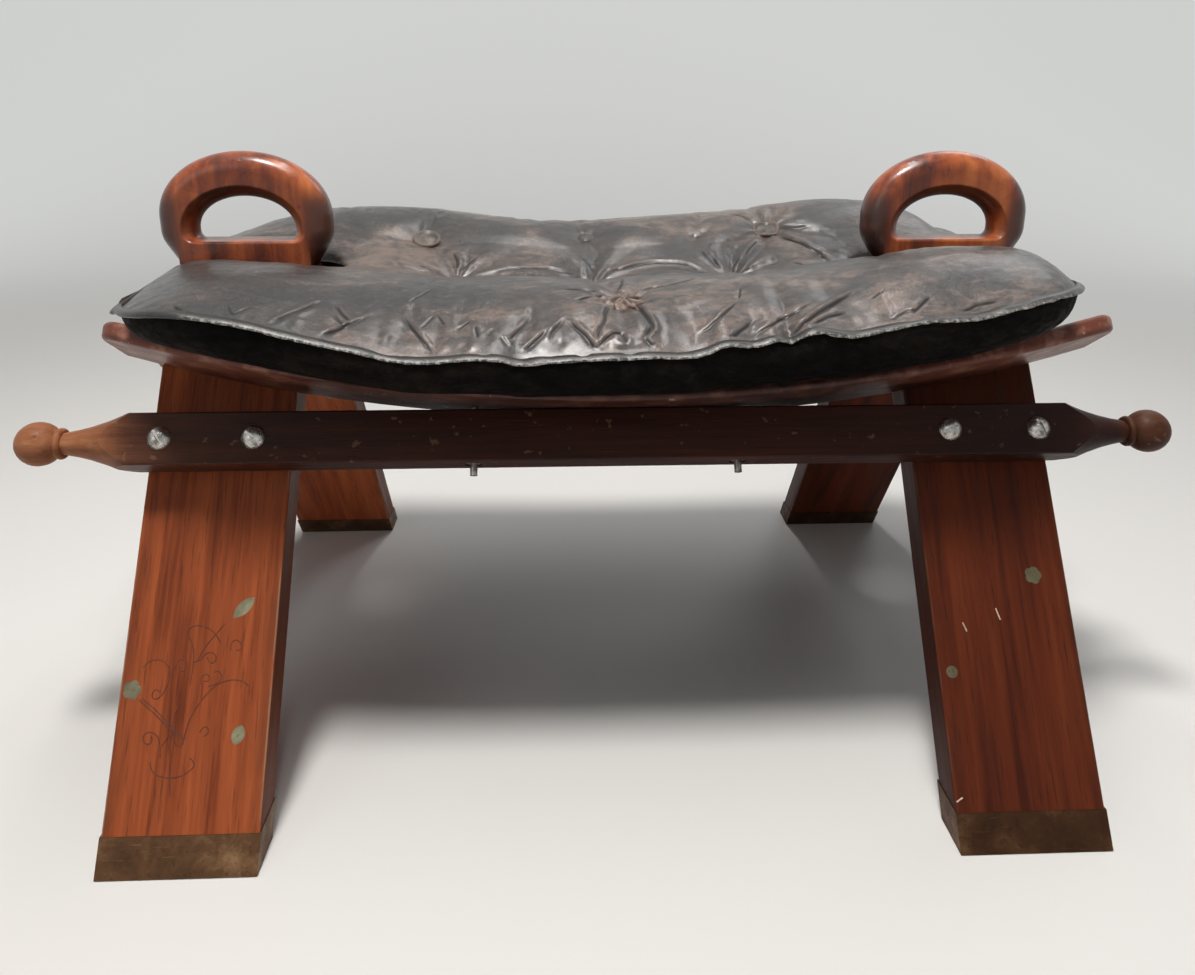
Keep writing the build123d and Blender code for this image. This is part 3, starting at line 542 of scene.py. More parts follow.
def paint_frame():
    """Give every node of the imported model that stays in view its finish."""
    nut = worn_steel("nut_steel", (0.44, 0.42, 0.40), (0.16, 0.14, 0.13))
    finishes = {
        "leg_front": leg_wood("leg_wood_front", 1),
        "leg_back": leg_wood("leg_wood_back", -1),
        "shoe": tarnished_brass("shoe_brass", (0.125, 0.062, 0.029), (0.27, 0.155, 0.076), 0.5, 0.8),
        "inlays": tarnished_brass("inlay_brass", (0.21, 0.195, 0.125), (0.36, 0.33, 0.21), 0.3, 0.6),
        "rail_screws": worn_steel("screw_steel", (0.52, 0.50, 0.47), (0.20, 0.18, 0.165)),
        "rail_nuts": nut,
        "handle": handle_wood(),
        "dowels": dowel_wood(),
        "rail": rail_wood(),
        "seat_lath": lath_wood(),
        "lath_bolts": worn_steel("bolt_steel", (0.36, 0.33, 0.31), (0.13, 0.10, 0.09)),
        "lath_nuts": nut,
        "cushion": bpy.data.materials.new("cushion_hidden"),
    }
    for name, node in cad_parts.items():
        start = max((start for start in finishes if name.startswith(start)), key=len)
        node.data.materials.clear()
        node.data.materials.append(finishes[start])


# Cushion, in millimetres
COVER_LOW, COVER_HIGH = (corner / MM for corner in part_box("cushion_cover"))
HALF_LENGTH = (COVER_HIGH.x - COVER_LOW.x) / 2
HALF_DEPTH = 129.0
SEAM_MIDDLE = 237.0
SEAM_END_RISE = 28.0
SEAM_RISE_POWER = 1.5
TAPER_POWER = 5
TAPER_ROUNDING = 0.55
END_NARROWING = 0.27
END_NARROWING_POWER = 14
CROWN = 39.0
VALLEY = 13.0
CREST_SHARE = 0.60
SLOPE_FOOT_SHARE = 0.27
SLOPE_HEIGHT_SHARE = 0.42
SLOPE_LIFT = 0.2
CREST_LEAST = 0.8
BAND_FOOT_SHARE = 0.87
BAND_BULGE = 2.2
BAND_TUCK = 2.5
BAND_FOOT_TUCK = 0.04
TUCK_START = 130
TUCK_RUN = 80
UNDERSIDE_SAG = 7.0
REST_MIDDLE = 216.6
REST_RADIUS = 838.7
REST_SHARE = 0.9158
UNDERSIDE_CLEARANCE = 1.0
UNDERSIDE_REACH = 2.5
UNDERSIDE_HEADROOM = 3
UNDERSIDE_SEARCH = 60
NOTCH_HALF_WIDTH = 13.2
NOTCH_END = 154.8
NOTCH_CENTRE = NOTCH_END + NOTCH_HALF_WIDTH
NOTCH_LIP = 7.0
NOTCH_LIP_SHARE = 0.8
NOTCH_CUT_HEIGHTS = (180, 330)
NOTCH_CUT_OVERRUN = 30

# How the real cushion departs from the even form: places along X, and heights added there
FRONT_SEAM_LIFT = [
    (-245, -8.0), (-208, 2.0), (-178, 3.0), (-146, -0.5), (-113, -2.6), (-90, -3.0), (-53, -2.0), (4, 0.0),
    (40, 1.4), (71, 3.8), (105, 5.0), (139, 6.6), (168, 7.2), (198, 6.2), (245, 0.0),
]
FRONT_SEAM_WAVES = [
    (-245, 0.0), (-150, 0.5), (-120, -0.5), (-99, -2.3), (-85, -1.2), (-66, 1.4), (-52, 1.5), (-46, 0.0),
    (-30, 1.2), (-6, 2.9), (19, 2.2), (45, 0.6), (54.5, 3.2), (70, 0.5), (81, 1.7), (86.5, -1.2), (95, 2.8),
    (116.5, -2.1), (134, -1.5), (152, -0.8), (176, -3.2), (197, -0.6), (231, 2.4), (245, 0.5),
]
SEAM_PINCH = (87.0, 4.0, 3.0)
FRONT_CREST_LIFT = [
    (-245, -7.0), (-234, -13.4), (-226, -16.6), (-210, -18.9), (-194, -19.4), (-178, -19.6), (-159, -21.2),
    (-142, -23.2), (-109, -22.7), (-79, -21.0), (-33, -16.0), (-3, -14.5), (28, -14.5), (58, -15.6),
    (81, -16.2), (104, -17.9), (130, -16.6), (163, -11.2), (190, -8.4), (202, -7.9), (220, -5.2),
    (233, -2.5), (245, 0.5),
]
REAR_CREST_LIFT = [
    (-245, 0.5), (-236, -7.2), (-214, -8.0), (-187, -3.9), (-136, 0.2), (-96, 0.7), (-16, 0.4), (24, 2.2),
    (64, 1.8), (104, 1.7), (134, 3.1), (154, 3.4), (187, 1.4), (215, -3.2), (231, -8.4), (245, 0.5),
]

# Tufts: place in X and Y, depth, reach, pleats round it, depth of the pleats, and its button's name, radius
# and kind
TUFTS = [
    (-110, 38, 4.0, 11, 7, 0.15, "rear_left", 9.0, "rim"),
    (-7, 50, 4.5, 10, 6, 0.15, "rear_middle", 6.0, "dome"),
    (111.5, 46, 6.0, 17, 9, 1.2, "rear_right", 9.0, "knot"),
    (64, 43, 2.4, 8, 5, 0.1, None, 0, "none"),
    (-87, 0, 6.5, 15, 9, 1.0, "valley_left", 6.0, "dome"),
    (-6, 0, 7.0, 16, 11, 1.0, "valley_middle", 6.0, "dome"),
    (81, 0, 7.5, 18, 10, 1.5, "valley_right", 6.0, "dome"),
    (9, -90, 7.5, 15, 11, 1.1, "front", 9.0, "crumpled"),
]

# A tuft's dent and pleats, in shares of its reach, and how near the seams they fade out
TUFT_SQUEEZE = 1.15
DENT_WIDTH = 0.55
DENT_POWER = 1.15
PLEAT_SHARE = 0.6
PLEAT_FADE = 1.25
SEAM_FADE = 0.06

# Creases of the pads: width, depth and rubbing of each, and its route in the photograph's pixels
FRONT_CREASES = [
    (1.2, 1.1, 0.4, (268, 325), (287, 316), (305, 309), (324, 300)),
    (1.3, 1.5, 0.3, (319, 337), (343, 328), (367, 317)),
    (0.9, 0.8, 0.3, (328, 336), (352, 322)),
    (1.1, 1.2, 0.8, (335, 304), (341, 313), (350, 322)),
    (1.0, 1.0, 0.8, (333, 313), (344, 328)),
    (1.3, 1.5, 0.6, (397, 311), (404, 319), (418, 336), (434, 355)),
    (0.8, 0.5, 0.1, (225, 301), (232, 315), (256, 305)),
    (1.0, 1.2, 0.0, (174, 306), (182, 314)),
    (0.8, 0.6, 0.7, (421, 329), (435, 315)),
    (0.8, 0.6, 0.6, (437, 315), (445, 326)),
    (0.8, 0.6, 0.9, (456, 331), (471, 321)),
    (0.9, 0.9, 0.5, (475, 325), (478, 339)),
    (0.9, 0.8, 0.5, (486, 337), (495, 328)),
    (1.1, 1.2, 0.7, (501, 336), (509, 347)),
    (1.0, 1.0, 0.8, (507, 341), (518, 332), (532, 318)),
    (1.3, 1.7, 0.9, (524, 352), (535, 342), (548, 330)),
    (1.0, 1.1, 0.3, (552, 341), (551, 334), (565, 319)),
    (1.5, 2.0, 0.7, (566, 319), (583, 334), (597, 351)),
    (1.2, 1.4, 0.5, (597, 348), (606, 339), (614, 333), (621, 333), (629, 348)),
    (1.5, 2.2, 0.2, (611, 303), (605, 313), (604, 322), (598, 330), (597, 341)),
    (1.5, 2.2, 0.5, (634, 303), (646, 315), (653, 327), (649, 332), (643, 339)),
    (1.2, 1.4, 0.6, (644, 338), (654, 348)),
    (1.3, 1.6, 0.3, (622, 277), (622, 285), (617, 292)),
    (1.0, 0.8, 0.6, (634, 292), (652, 288), (674, 284), (698, 278)),
    (1.0, 0.8, 0.5, (576, 300), (592, 297), (606, 296)),
    (1.0, 0.7, 0.2, (560, 289), (584, 290), (604, 293)),
    (1.1, 1.1, 0.9, (697, 335), (708, 329), (722, 316), (739, 300)),
    (0.8, 0.5, 0.4, (739, 300), (741, 287)),
    (1.3, 1.4, 0.3, (730, 340), (741, 331), (754, 321)),
    (1.2, 1.2, 0.9, (751, 338), (772, 325), (795, 313), (813, 301)),
    (1.6, 2.4, 1.0, (788, 340), (803, 324), (817, 314), (838, 301), (858, 290)),
    (1.2, 1.4, 0.6, (812, 325), (828, 317), (848, 312)),
    (0.7, 0.4, 0.7, (871, 300), (885, 289)),
    (1.2, 1.1, 0.2, (912, 314), (931, 296)),
    (0.7, 0.4, 0.5, (408, 303), (433, 289)),
    (0.9, 0.7, 0.2, (890, 322), (905, 312), (918, 309)),
    (0.9, 0.8, 0.2, (960, 316), (975, 306), (1000, 301)),
]
REAR_CREASES = [
    (1.4, 1.6, 0.9, (490, 273), (507, 269), (527, 268), (552, 269), (564, 272), (581, 276)),
    (1.5, 1.8, 1.0, (595, 275), (605, 271), (621, 269), (640, 264), (652, 262), (675, 262), (691, 265),
     (704, 271)),
    (1.1, 1.0, 0.9, (418, 265), (427, 268), (437, 273)),
    (1.1, 1.0, 0.9, (384, 274), (400, 273), (418, 275)),
    (1.3, 1.2, 0.1, (453, 252), (458, 262), (457, 270)),
    (1.1, 1.0, 0.4, (478, 257), (468, 265), (461, 271)),
    (1.2, 1.1, 0.1, (582, 256), (590, 266), (594, 274)),
    (1.3, 1.4, 0.1, (697, 249), (707, 256), (718, 268)),
    (1.1, 1.1, 0.2, (706, 250), (714, 260), (722, 271)),
    (1.1, 1.2, 0.3, (740, 258), (734, 265), (730, 271)),
    (1.0, 1.1, 0.8, (756, 265), (748, 269), (740, 273)),
    (1.0, 1.0, 0.9, (754, 273), (773, 270), (793, 266)),
    (1.9, 2.8, 0.4, (774, 235), (801, 243), (822, 255), (834, 267)),
    (1.2, 1.2, 1.0, (791, 262), (806, 265), (816, 270)),
    (1.1, 1.0, 0.1, (752, 222), (742, 216), (728, 214)),
    (1.2, 1.1, 0.1, (776, 228), (794, 229), (812, 226)),
    (1.0, 0.9, 0.3, (758, 240), (750, 248), (745, 256)),
]

# Worn spots: place in the photograph's pixels, reach and strength, and how flat they lie there
WORN_SPOTS = [(617, 297, 15, 1.0), (342, 261, 12, 0.5), (430, 240, 16, 0.35), (764, 231, 18, 0.45)]
WORN_SPOT_FLATNESS = 0.6

# How near the skin's grid a point has to be to take the grid's crease values
VALUE_REACH = 2

# A crease across its line: how narrow it is for its width, its groove, the width of the painted shade along
# its bottom, the lips beside it with their rubbed lines, its fading ends, and how closely its route is
# followed
CREASE_LEAST = 0.42
CREASE_SHARE = 0.34
CREASE_NEAR = 9
CREASE_END = 0.22
CREASE_END_LEAST = 0.12
CREASE_CUT = 0.55
CREASE_SHADE_WIDTH = 0.85
LIP_PLACE = 2.4
LIP_WIDTH = 1.6
LIP_HEIGHTS = (0.34, 0.05)
RUB_PLACE = 1.6
RUB_WIDTH = 0.6
RUB_STRENGTHS = (1, 0.15)
ROUTE_STEP = 2.5
ROUTE_NEAREST = 5

# Where the front and rear pads lie, counted in the arcs of the top's rows
FRONT_ZONE = (0.04, 1.0)
REAR_ZONE = 1.2

# Rows round the cushion's skin, and stations along it: of the finished skin, and of the simulated one
FINE_ROWS = (144, 64, 108, 9, 32)
FINE_STATIONS = 621
SETTLED_ROWS = (32, 15, 26, 3, 8)
SETTLED_STATIONS = 141
SETTLED_SCALE = 10.0
SETTLED_FRAMES = 24
SETTLED_LIMIT = 5.0

# The settling leather: how uneven it starts, how near notches and tufts it is held, and its cloth settings
SETTLED_UNEVENNESS = 0.12
HELD_AT_NOTCH = 3
HELD_AT_TUFT = 5
CLOTH = {
    "quality": 6, "mass": 0.3, "tension_stiffness": 30, "compression_stiffness": 30, "shear_stiffness": 12,
    "bending_stiffness": 2.0, "tension_damping": 12, "compression_damping": 12, "air_damping": 3,
    "use_pressure": True, "uniform_pressure_force": 2.0, "shrink_min": -0.006, "vertex_group_mass": "held",
}

# How even the stations are, and the caps at the skin's ends
STATION_EVENNESS = 0.66
CAP_RINGS = 7
CAP_LENGTH = 3.0
CAP_NARROWING = 0.12


def smooth_line(table, x):
    """Smooth curve through a table's places along X, read at X."""
    places, values = np.array(table, float).T
    slopes = np.gradient(values, places)
    i = np.clip(np.searchsorted(places, x) - 1, 0, len(places) - 2)
    run = places[i + 1] - places[i]
    t = np.clip((x - places[i]) / run, 0, 1)
    t2, t3 = t * t, t * t * t
    return ((2 * t3 - 3 * t2 + 1) * values[i] + (t3 - 2 * t2 + t) * run * slopes[i]
            + (3 * t2 - 2 * t3) * values[i + 1] + (t3 - t2) * run * slopes[i + 1])


def seam_height(x):
    return SEAM_MIDDLE + SEAM_END_RISE * (np.abs(x) / HALF_LENGTH) ** SEAM_RISE_POWER


def taper(x):
    """What is left of the crown's height towards the ends."""
    return np.maximum(1 - (np.abs(x) / HALF_LENGTH) ** TAPER_POWER, 0) ** TAPER_ROUNDING


def half_depth(x):
    return HALF_DEPTH * (1 - END_NARROWING * (np.abs(x) / HALF_LENGTH) ** END_NARROWING_POWER)


def rest_height(x):
    """Height that the laths hold the cushion's underside at: an arc, stretched along X."""
    return REST_MIDDLE + REST_RADIUS - np.sqrt(REST_RADIUS ** 2 - (x * REST_SHARE) ** 2)


def arc_through(a, b, c, count):
    """Points on the arc from a to c through b, as many as asked, both ends included."""
    (ay, az), (by, bz), (cy, cz) = a, b, c
    d = 2 * (ay * (bz - cz) + by * (cz - az) + cy * (az - bz))
    sa, sb, sc = ay * ay + az * az, by * by + bz * bz, cy * cy + cz * cz
    oy = (sa * (bz - cz) + sb * (cz - az) + sc * (az - bz)) / d
    oz = (sa * (cy - by) + sb * (ay - cy) + sc * (by - ay)) / d
    radius = math.hypot(ay - oy, az - oz)
    start, middle, end = (math.atan2(z - oz, y - oy) for y, z in (a, b, c))
    while middle < start:
        middle += 2 * math.pi
    while end < start:
        end += 2 * math.pi
    if middle > end:
        end -= 2 * math.pi
    angles = np.linspace(start, end, count)
    return np.stack([oy + radius * np.cos(angles), oz + radius * np.sin(angles)], axis=-1)


def section(x, rows):
    """Closed YZ loop of the cushion at X: front edge, over the top to the rear edge, and back below."""
    front, valley, rear, band, bottom = rows
    depth = float(half_depth(x))
    low = float(seam_height(x) + VALLEY * taper(x))
    rest = float(rest_height(x))
    tuck = float(np.clip((abs(x) - TUCK_START) / TUCK_RUN, 0, 1))
    foot = (BAND_FOOT_SHARE - BAND_FOOT_TUCK * tuck) * depth
    reach = depth + BAND_BULGE - BAND_TUCK * tuck
    pinch_place, pinch_reach, pinch_depth = SEAM_PINCH
    pinch = pinch_depth * math.exp(-((x - pinch_place) / pinch_reach) ** 2)
    front_lift = smooth_line(FRONT_SEAM_LIFT, x) + smooth_line(FRONT_SEAM_WAVES, x)
    front_edge = (pinch - depth, float(seam_height(x) + front_lift))
    rear_edge = (depth, float(seam_height(x)))

    def half(sign, edge, lift):
        """Crest, foot of the inner slope and middle of the band, on one side."""
        z = float(seam_height(x) + CROWN * taper(x) + smooth_line(lift, x))
        z = max(z, edge[1] + CREST_LEAST)
        slope_z = low + SLOPE_HEIGHT_SHARE * (z - low) + SLOPE_LIFT
        return ((sign * CREST_SHARE * depth, z), (sign * SLOPE_FOOT_SHARE * depth, slope_z),
                (sign * reach, (2 * edge[1] + rest) / 3))

    front_crest, front_slope, front_band = half(-1, front_edge, FRONT_CREST_LIFT)
    rear_crest, rear_slope, rear_band = half(1, rear_edge, REAR_CREST_LIFT)
    pieces = [
        arc_through(front_edge, front_crest, front_slope, front)[:-1],
        arc_through(front_slope, (0, low), rear_slope, valley)[:-1],
        arc_through(rear_slope, rear_crest, rear_edge, rear),
        arc_through(rear_edge, rear_band, (foot, rest), band)[1:-1],
        arc_through((foot, rest), (0, rest - UNDERSIDE_SAG), (-foot, rest), bottom)[:-1],
        arc_through((-foot, rest), front_band, front_edge, band)[:-1],
    ]
    loop = np.concatenate(pieces)
    return np.concatenate([np.full((len(loop), 1), x), loop], axis=1)


def top_count(rows):
    """How many of a section's rows lie on the cushion's top, both seams included."""
    return sum(rows[:3]) - 2


TOP = top_count(FINE_ROWS)


def row_places(rows):
    """Where the top's rows lie, counted in its three arcs."""
    arcs = [np.linspace(0, 1, rows[0])[:-1], np.linspace(1, 2, rows[1])[:-1], np.linspace(2, 3, rows[2])]
    return np.concatenate(arcs)


def station_places(count):
    """Stations along X, closer together towards the ends."""
    even = np.linspace(-1, 1, count)
    return HALF_LENGTH * (STATION_EVENNESS * even + (1 - STATION_EVENNESS) * np.sin(even * math.pi / 2))


def skin_normals(grid):
    """Outward normals of the grid of sections."""
    along = np.gradient(grid, axis=0)
    around = np.roll(grid, -1, axis=1) - np.roll(grid, 1, axis=1)
    normal = np.cross(along, around)
    return normal / np.maximum(np.linalg.norm(normal, axis=2, keepdims=True), 1e-9)


def notch_distance(x, y):
    """Distance from the edge of the handles' notches, negative inside them."""
    return np.hypot(np.maximum(NOTCH_CENTRE - np.abs(x), 0), y) - NOTCH_HALF_WIDTH


def pull_tufts(grid, rows):
    """Draw the top in at its tufts, with pleats that spread from each, and round the notches' lips."""
    count = top_count(rows)
    top = grid[:, :count]
    normals = skin_normals(grid)[:, :count]
    x, y = top[:, :, 0], top[:, :, 1]
    down = np.zeros(x.shape)
    for number, (tuft_x, tuft_y, depth, reach, pleats, pleat_depth, *button) in enumerate(TUFTS):
        dx, dy = x - tuft_x, (y - tuft_y) * TUFT_SQUEEZE
        distance = np.hypot(dx, dy)
        angle = np.arctan2(dy, dx)
        # The phases make each tuft's pleats differ
        ripple = np.cos(pleats * angle + 1.7 * number + 0.6 * np.sin(2 * angle + number))
        ripple += 0.5 * np.cos((pleats + 3) * angle + 2.3 * number)
        fade = (distance / reach) * np.exp(1 - PLEAT_FADE * distance / reach)
        dent = np.exp(-(distance / (DENT_WIDTH * reach)) ** DENT_POWER)
        down += depth * dent + pleat_depth * fade * ripple * PLEAT_SHARE
    lip = np.clip(1 - notch_distance(x, y) / NOTCH_LIP, 0, 1)
    down += NOTCH_LIP * (1 - np.sqrt(np.maximum(1 - lip ** 2, 0))) * NOTCH_LIP_SHARE
    edge = np.minimum(np.arange(count), np.arange(count)[::-1]) / (SEAM_FADE * count)
    top -= normals * (down * np.clip(edge, 0, 1))[:, :, None]


def resampled(values, places, axis):
    """Smooth values at fractional places along an axis of a grid."""
    values = np.moveaxis(values, axis, 0)
    last = len(values) - 1
    i = np.clip(np.floor(places).astype(int), 0, last - 1)
    t = (places - i).reshape((-1,) + (1,) * (values.ndim - 1))
    a, b, c, d = (values[np.clip(i + k, 0, last)] for k in (-1, 0, 1, 2))
    curve = b + 0.5 * t * (c - a + t * (2 * a - 5 * b + 4 * c - d + t * (3 * (b - c) + d - a)))
    return np.moveaxis(curve, 0, axis)


def settle():
    """Let the top's leather settle as cloth between its seams and tufts. Gives how far each point of
    the coarse grid moves."""
    places = np.linspace(-HALF_LENGTH, HALF_LENGTH, SETTLED_STATIONS)
    grid = np.stack([section(x, SETTLED_ROWS) for x in places])
    pull_tufts(grid, SETTLED_ROWS)
    top = grid[:, :top_count(SETTLED_ROWS)].copy()
    normals = skin_normals(grid)[:, :top.shape[1]]
    chance = np.random.default_rng(SEED)
    top += normals * chance.normal(0, SETTLED_UNEVENNESS, top.shape[:2])[:, :, None]
    stations, rows = top.shape[:2]
    index = np.arange(stations * rows).reshape(stations, rows)
    faces = np.stack([index[:-1, :-1], index[1:, :-1], index[1:, 1:], index[:-1, 1:]], axis=-1)
    mesh = bpy.data.meshes.new("settling")
    mesh.from_pydata((top.reshape(-1, 3) * MM * SETTLED_SCALE).tolist(), [], faces.reshape(-1, 4).tolist())
    piece = link(bpy.data.objects.new("settling", mesh))
    held = np.zeros((stations, rows), bool)
    held[:2] = held[-2:] = True
    held[:, :2] = held[:, -2:] = True
    held |= notch_distance(top[:, :, 0], top[:, :, 1]) < HELD_AT_NOTCH
    for tuft_x, tuft_y, *rest in TUFTS:
        held |= np.hypot(top[:, :, 0] - tuft_x, top[:, :, 1] - tuft_y) < HELD_AT_TUFT
    group = piece.vertex_groups.new(name="held")
    group.add(index[held].tolist(), 1.0, "REPLACE")
    cloth = piece.modifiers.new("cloth", "CLOTH")
    for key, value in CLOTH.items():
        setattr(cloth.settings, key, value)
    cloth.settings.effector_weights.gravity = 0
    cloth.collision_settings.use_collision = False
    cloth.point_cache.frame_start = 1
    cloth.point_cache.frame_end = SETTLED_FRAMES
    for moment in range(1, SETTLED_FRAMES + 1):
        bpy.context.scene.frame_set(moment)
    result = piece.evaluated_get(bpy.context.evaluated_depsgraph_get())
    settled = np.empty(stations * rows * 3, np.float32)
    result.data.vertices.foreach_get("co", settled)
    bpy.context.scene.frame_set(1)
    bpy.data.objects.remove(piece)
    move = settled.reshape(stations, rows, 3) / (MM * SETTLED_SCALE) - top
    length = np.linalg.norm(move, axis=2, keepdims=True)
    print("settled: mean %.2f, most %.2f mm" % (length.mean(), length.max()))
    return move * SETTLED_LIMIT * np.tanh(length / SETTLED_LIMIT) / np.maximum(length, 1e-6)


def spread_settled(move, places, rows):
    """The settled leather's moves, on the finished skin's grid."""
    along = (places + HALF_LENGTH) / (2 * HALF_LENGTH) * (SETTLED_STATIONS - 1)
    across = np.interp(row_places(rows), row_places(SETTLED_ROWS), np.arange(move.shape[1]))
    return resampled(resampled(move, along, 0), across, 1)


def route_on_skin(route, points, seen_at):
    """Points on the skin under a route drawn in the photograph."""
    dense = []
    for (ax, ay), (bx, by) in zip(route, route[1:]):
        steps = max(2, round(math.hypot(bx - ax, by - ay) / ROUTE_STEP))
        dense += [(ax + (bx - ax) * k / steps, ay + (by - ay) * k / steps) for k in range(steps)]
    dense.append(route[-1])
    found = []
    for place in dense:
        gap = np.hypot(*(seen_at - place).T)
        near = np.argpartition(gap, ROUTE_NEAREST)[:ROUTE_NEAREST]
        weight = 1 / (gap[near] + 0.25) ** 2
        found.append((points[near] * weight[:, None]).sum(axis=0) / weight.sum())
    found = np.array(found)
    return smoothed(found, 1) if len(found) > 3 else found


def bell(distance, place, width):
    return np.exp(-((distance - place) / width) ** 2)


def fold_skin(top, normals, crease_shade, rub, creases, zone):
    """Press the creases of one pad into the skin, each with a raised lip beside it."""
    toward = np.array(CAMERA_PLACE) - top
    points = top[zone & ((normals * toward).sum(axis=2) > 0)]
    seen_at = photo_place(points)
    lift = np.zeros(top.shape[:2])
    for width, depth, rubbed, *route in creases:
        line = route_on_skin(route, points, seen_at)
        low, high = line.min(axis=0) - CREASE_NEAR * width, line.max(axis=0) + CREASE_NEAR * width
        near = ((top > low) & (top < high)).all(axis=2) & zone
        place = top[near]
        start, step = line[:-1], np.diff(line, axis=0)
        share = ((place[:, None] - start) * step).sum(axis=2)
        held = np.clip(share / np.maximum((step ** 2).sum(axis=1), 1e-6), 0, 1)
        away = place[:, None] - (start + held[:, :, None] * step)
        distance = np.linalg.norm(away, axis=2)
        best = distance.argmin(axis=1)
        rows = np.arange(len(place))
        distance, away = distance[rows, best], away[rows, best]
        outer = (np.cross(step[best], away) * normals[near]).sum(axis=1) > 0
        along = (best + held[rows, best]) / len(step)
        fade = np.clip(np.minimum(along, 1 - along) / CREASE_END, CREASE_END_LEAST, 1)
        narrow = CREASE_LEAST + CREASE_SHARE * width
        lip = bell(distance, LIP_PLACE * narrow, LIP_WIDTH * narrow) * np.where(outer, *LIP_HEIGHTS)
        lift[near] += fade * depth * (lip - CREASE_CUT * bell(distance, 0, narrow))
        # Painted shade along the crease's bottom, kept for the leather's colour
        dark = fade * bell(distance, 0, CREASE_SHADE_WIDTH * narrow) * min(0.4 + depth, 1)
        crease_shade[near] = np.maximum(crease_shade[near], dark)
        pale = bell(distance, RUB_PLACE * narrow, RUB_WIDTH * narrow) * np.where(outer, *RUB_STRENGTHS)
        rub[near] = np.maximum(rub[near], fade * rubbed * pale)
    top += normals * lift[:, :, None]


def raise_underside(grid, rows):
    """Keep the cushion's underside above the laths and the legs' tops."""
    corners, sides = [], []
    for name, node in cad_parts.items():
        if name.startswith(("leg_", "seat_lath", "lath_bolts")):
            first = len(corners)
            corners += [v.co / MM for v in node.data.vertices]
            sides += [[first + k for k in p.vertices] for p in node.data.polygons]
    tree = BVHTree.FromPolygons(corners, sides)
    down = Vector((0, 0, -1))
    count = top_count(rows)
    reach = (-UNDERSIDE_REACH, 0, UNDERSIDE_REACH)
    for station in grid:
        top = station[:count]
        for point in station[count:]:
            roof = np.interp(point[1], top[:, 1], top[:, 2]) + UNDERSIDE_HEADROOM
            for a, b in product(reach, reach):
                origin = Vector((point[0] + a, point[1] + b, roof))
                hit = tree.ray_cast(origin, down, UNDERSIDE_SEARCH)[0]
                if hit is not None:
                    point[2] = max(point[2], hit.z + UNDERSIDE_CLEARANCE)


def closed_skin(grid, top_rows):
    """Points and faces of the grid of sections, closed by caps of shrinking rings at both ends, and which
    faces lie below the seams."""
    stations, loop = grid.shape[:2]
    points = [grid.reshape(-1, 3)]
    faces = []
    below = []
    index = np.arange(stations * loop).reshape(stations, loop)

    def bridge(first, second):
        for k in range(loop):
            after = (k + 1) % loop
            faces.append((first[k], second[k], second[after], first[after]))
            below.append(int(k >= top_rows - 1))

    for i in range(stations - 1):
        bridge(index[i], index[i + 1])
    count = stations * loop
    for end, sign in ((0, -1), (stations - 1, 1)):
        rim = grid[end]
        middle = rim.mean(axis=0)
        outer = index[end]
        for ring in range(1, CAP_RINGS + 1):
            share = ring / (CAP_RINGS + 0.5)
            inner_points = rim + (middle - rim) * np.array([0, CAP_NARROWING * share, share])
            inner_points[:, 0] = rim[:, 0] + sign * CAP_LENGTH * math.sqrt(1 - (1 - share) ** 2)
            inner = np.arange(count, count + loop)
            points.append(inner_points)
            count += loop
            bridge(*((outer, inner) if sign > 0 else (inner, outer)))
            outer = inner
        faces.append(tuple(outer[::-1] if sign > 0 else outer))
        below.append(1)
    return np.concatenate(points), faces, below


def mesh_object(name, points, faces, material, smooth=True):
    """Mesh object from points in millimetres."""
    mesh = bpy.data.meshes.new(name)
    mesh.from_pydata((np.asarray(points) * MM).tolist(), [], [tuple(int(k) for k in f) for f in faces])
    mesh.polygons.foreach_set("use_smooth", [smooth] * len(mesh.polygons))
    mesh.materials.append(material)
    return link(bpy.data.objects.new(name, mesh))


def set_values(piece, **values):
    """Keep per-point values in the mesh for its material."""
    for name, data in values.items():
        layer = piece.data.attributes.new(name, "FLOAT", "POINT")
        layer.data.foreach_set("value", np.asarray(data, np.float32).ravel())


def notch_cutter():
    """Closed prisms of both handle notches, open past the cushion's ends."""
    bend = np.linspace(math.pi / 2, 3 * math.pi / 2, 25)
    outline = [(NOTCH_CENTRE + NOTCH_HALF_WIDTH * math.cos(a), NOTCH_HALF_WIDTH * math.sin(a)) for a in bend]
    outline += [(HALF_LENGTH + NOTCH_CUT_OVERRUN, y) for y in (-NOTCH_HALF_WIDTH, NOTCH_HALF_WIDTH)]
    points, faces = [], []
    for sign in (1, -1):
        first = len(points)
        count = len(outline)
        points += [(sign * x, y, z) for z in NOTCH_CUT_HEIGHTS for x, y in outline]
        turn = [tuple(first + k for k in range(count))[::-1], tuple(first + count + k for k in range(count))]
        for k in range(count):
            after = (k + 1) % count
            turn.append((first + k, first + after, first + count + after, first + count + k))
        faces += turn if sign > 0 else [face[::-1] for face in turn]
    return points, faces


def cut_notches(piece, material):
    cutter = mesh_object("notch_cutter", *notch_cutter(), material, smooth=False)
    cut = piece.modifiers.new("notches", "BOOLEAN")
    cut.object = cutter
    cut.solver = "MANIFOLD"
    whole = piece.evaluated_get(bpy.context.evaluated_depsgraph_get())
    mesh = bpy.data.meshes.new_from_object(whole)
    piece.modifiers.clear()
    old = piece.data
    piece.data = mesh
    bpy.data.meshes.remove(old)
    bpy.data.objects.remove(cutter)


def tube(sections):
    """Points and faces of a closed tube through equal rings of points."""
    sections = np.asarray(sections)
    count, ring = sections.shape[:2]
    index = np.arange(count * ring).reshape(count, ring)
    faces = [(index[i, k], index[i, (k + 1) % ring], index[i + 1, (k + 1) % ring], index[i + 1, k])
             for i in range(count - 1) for k in range(ring)]
    faces.append(tuple(index[0][::-1]))
    faces.append(tuple(index[-1]))
    return sections.reshape(-1, 3), faces


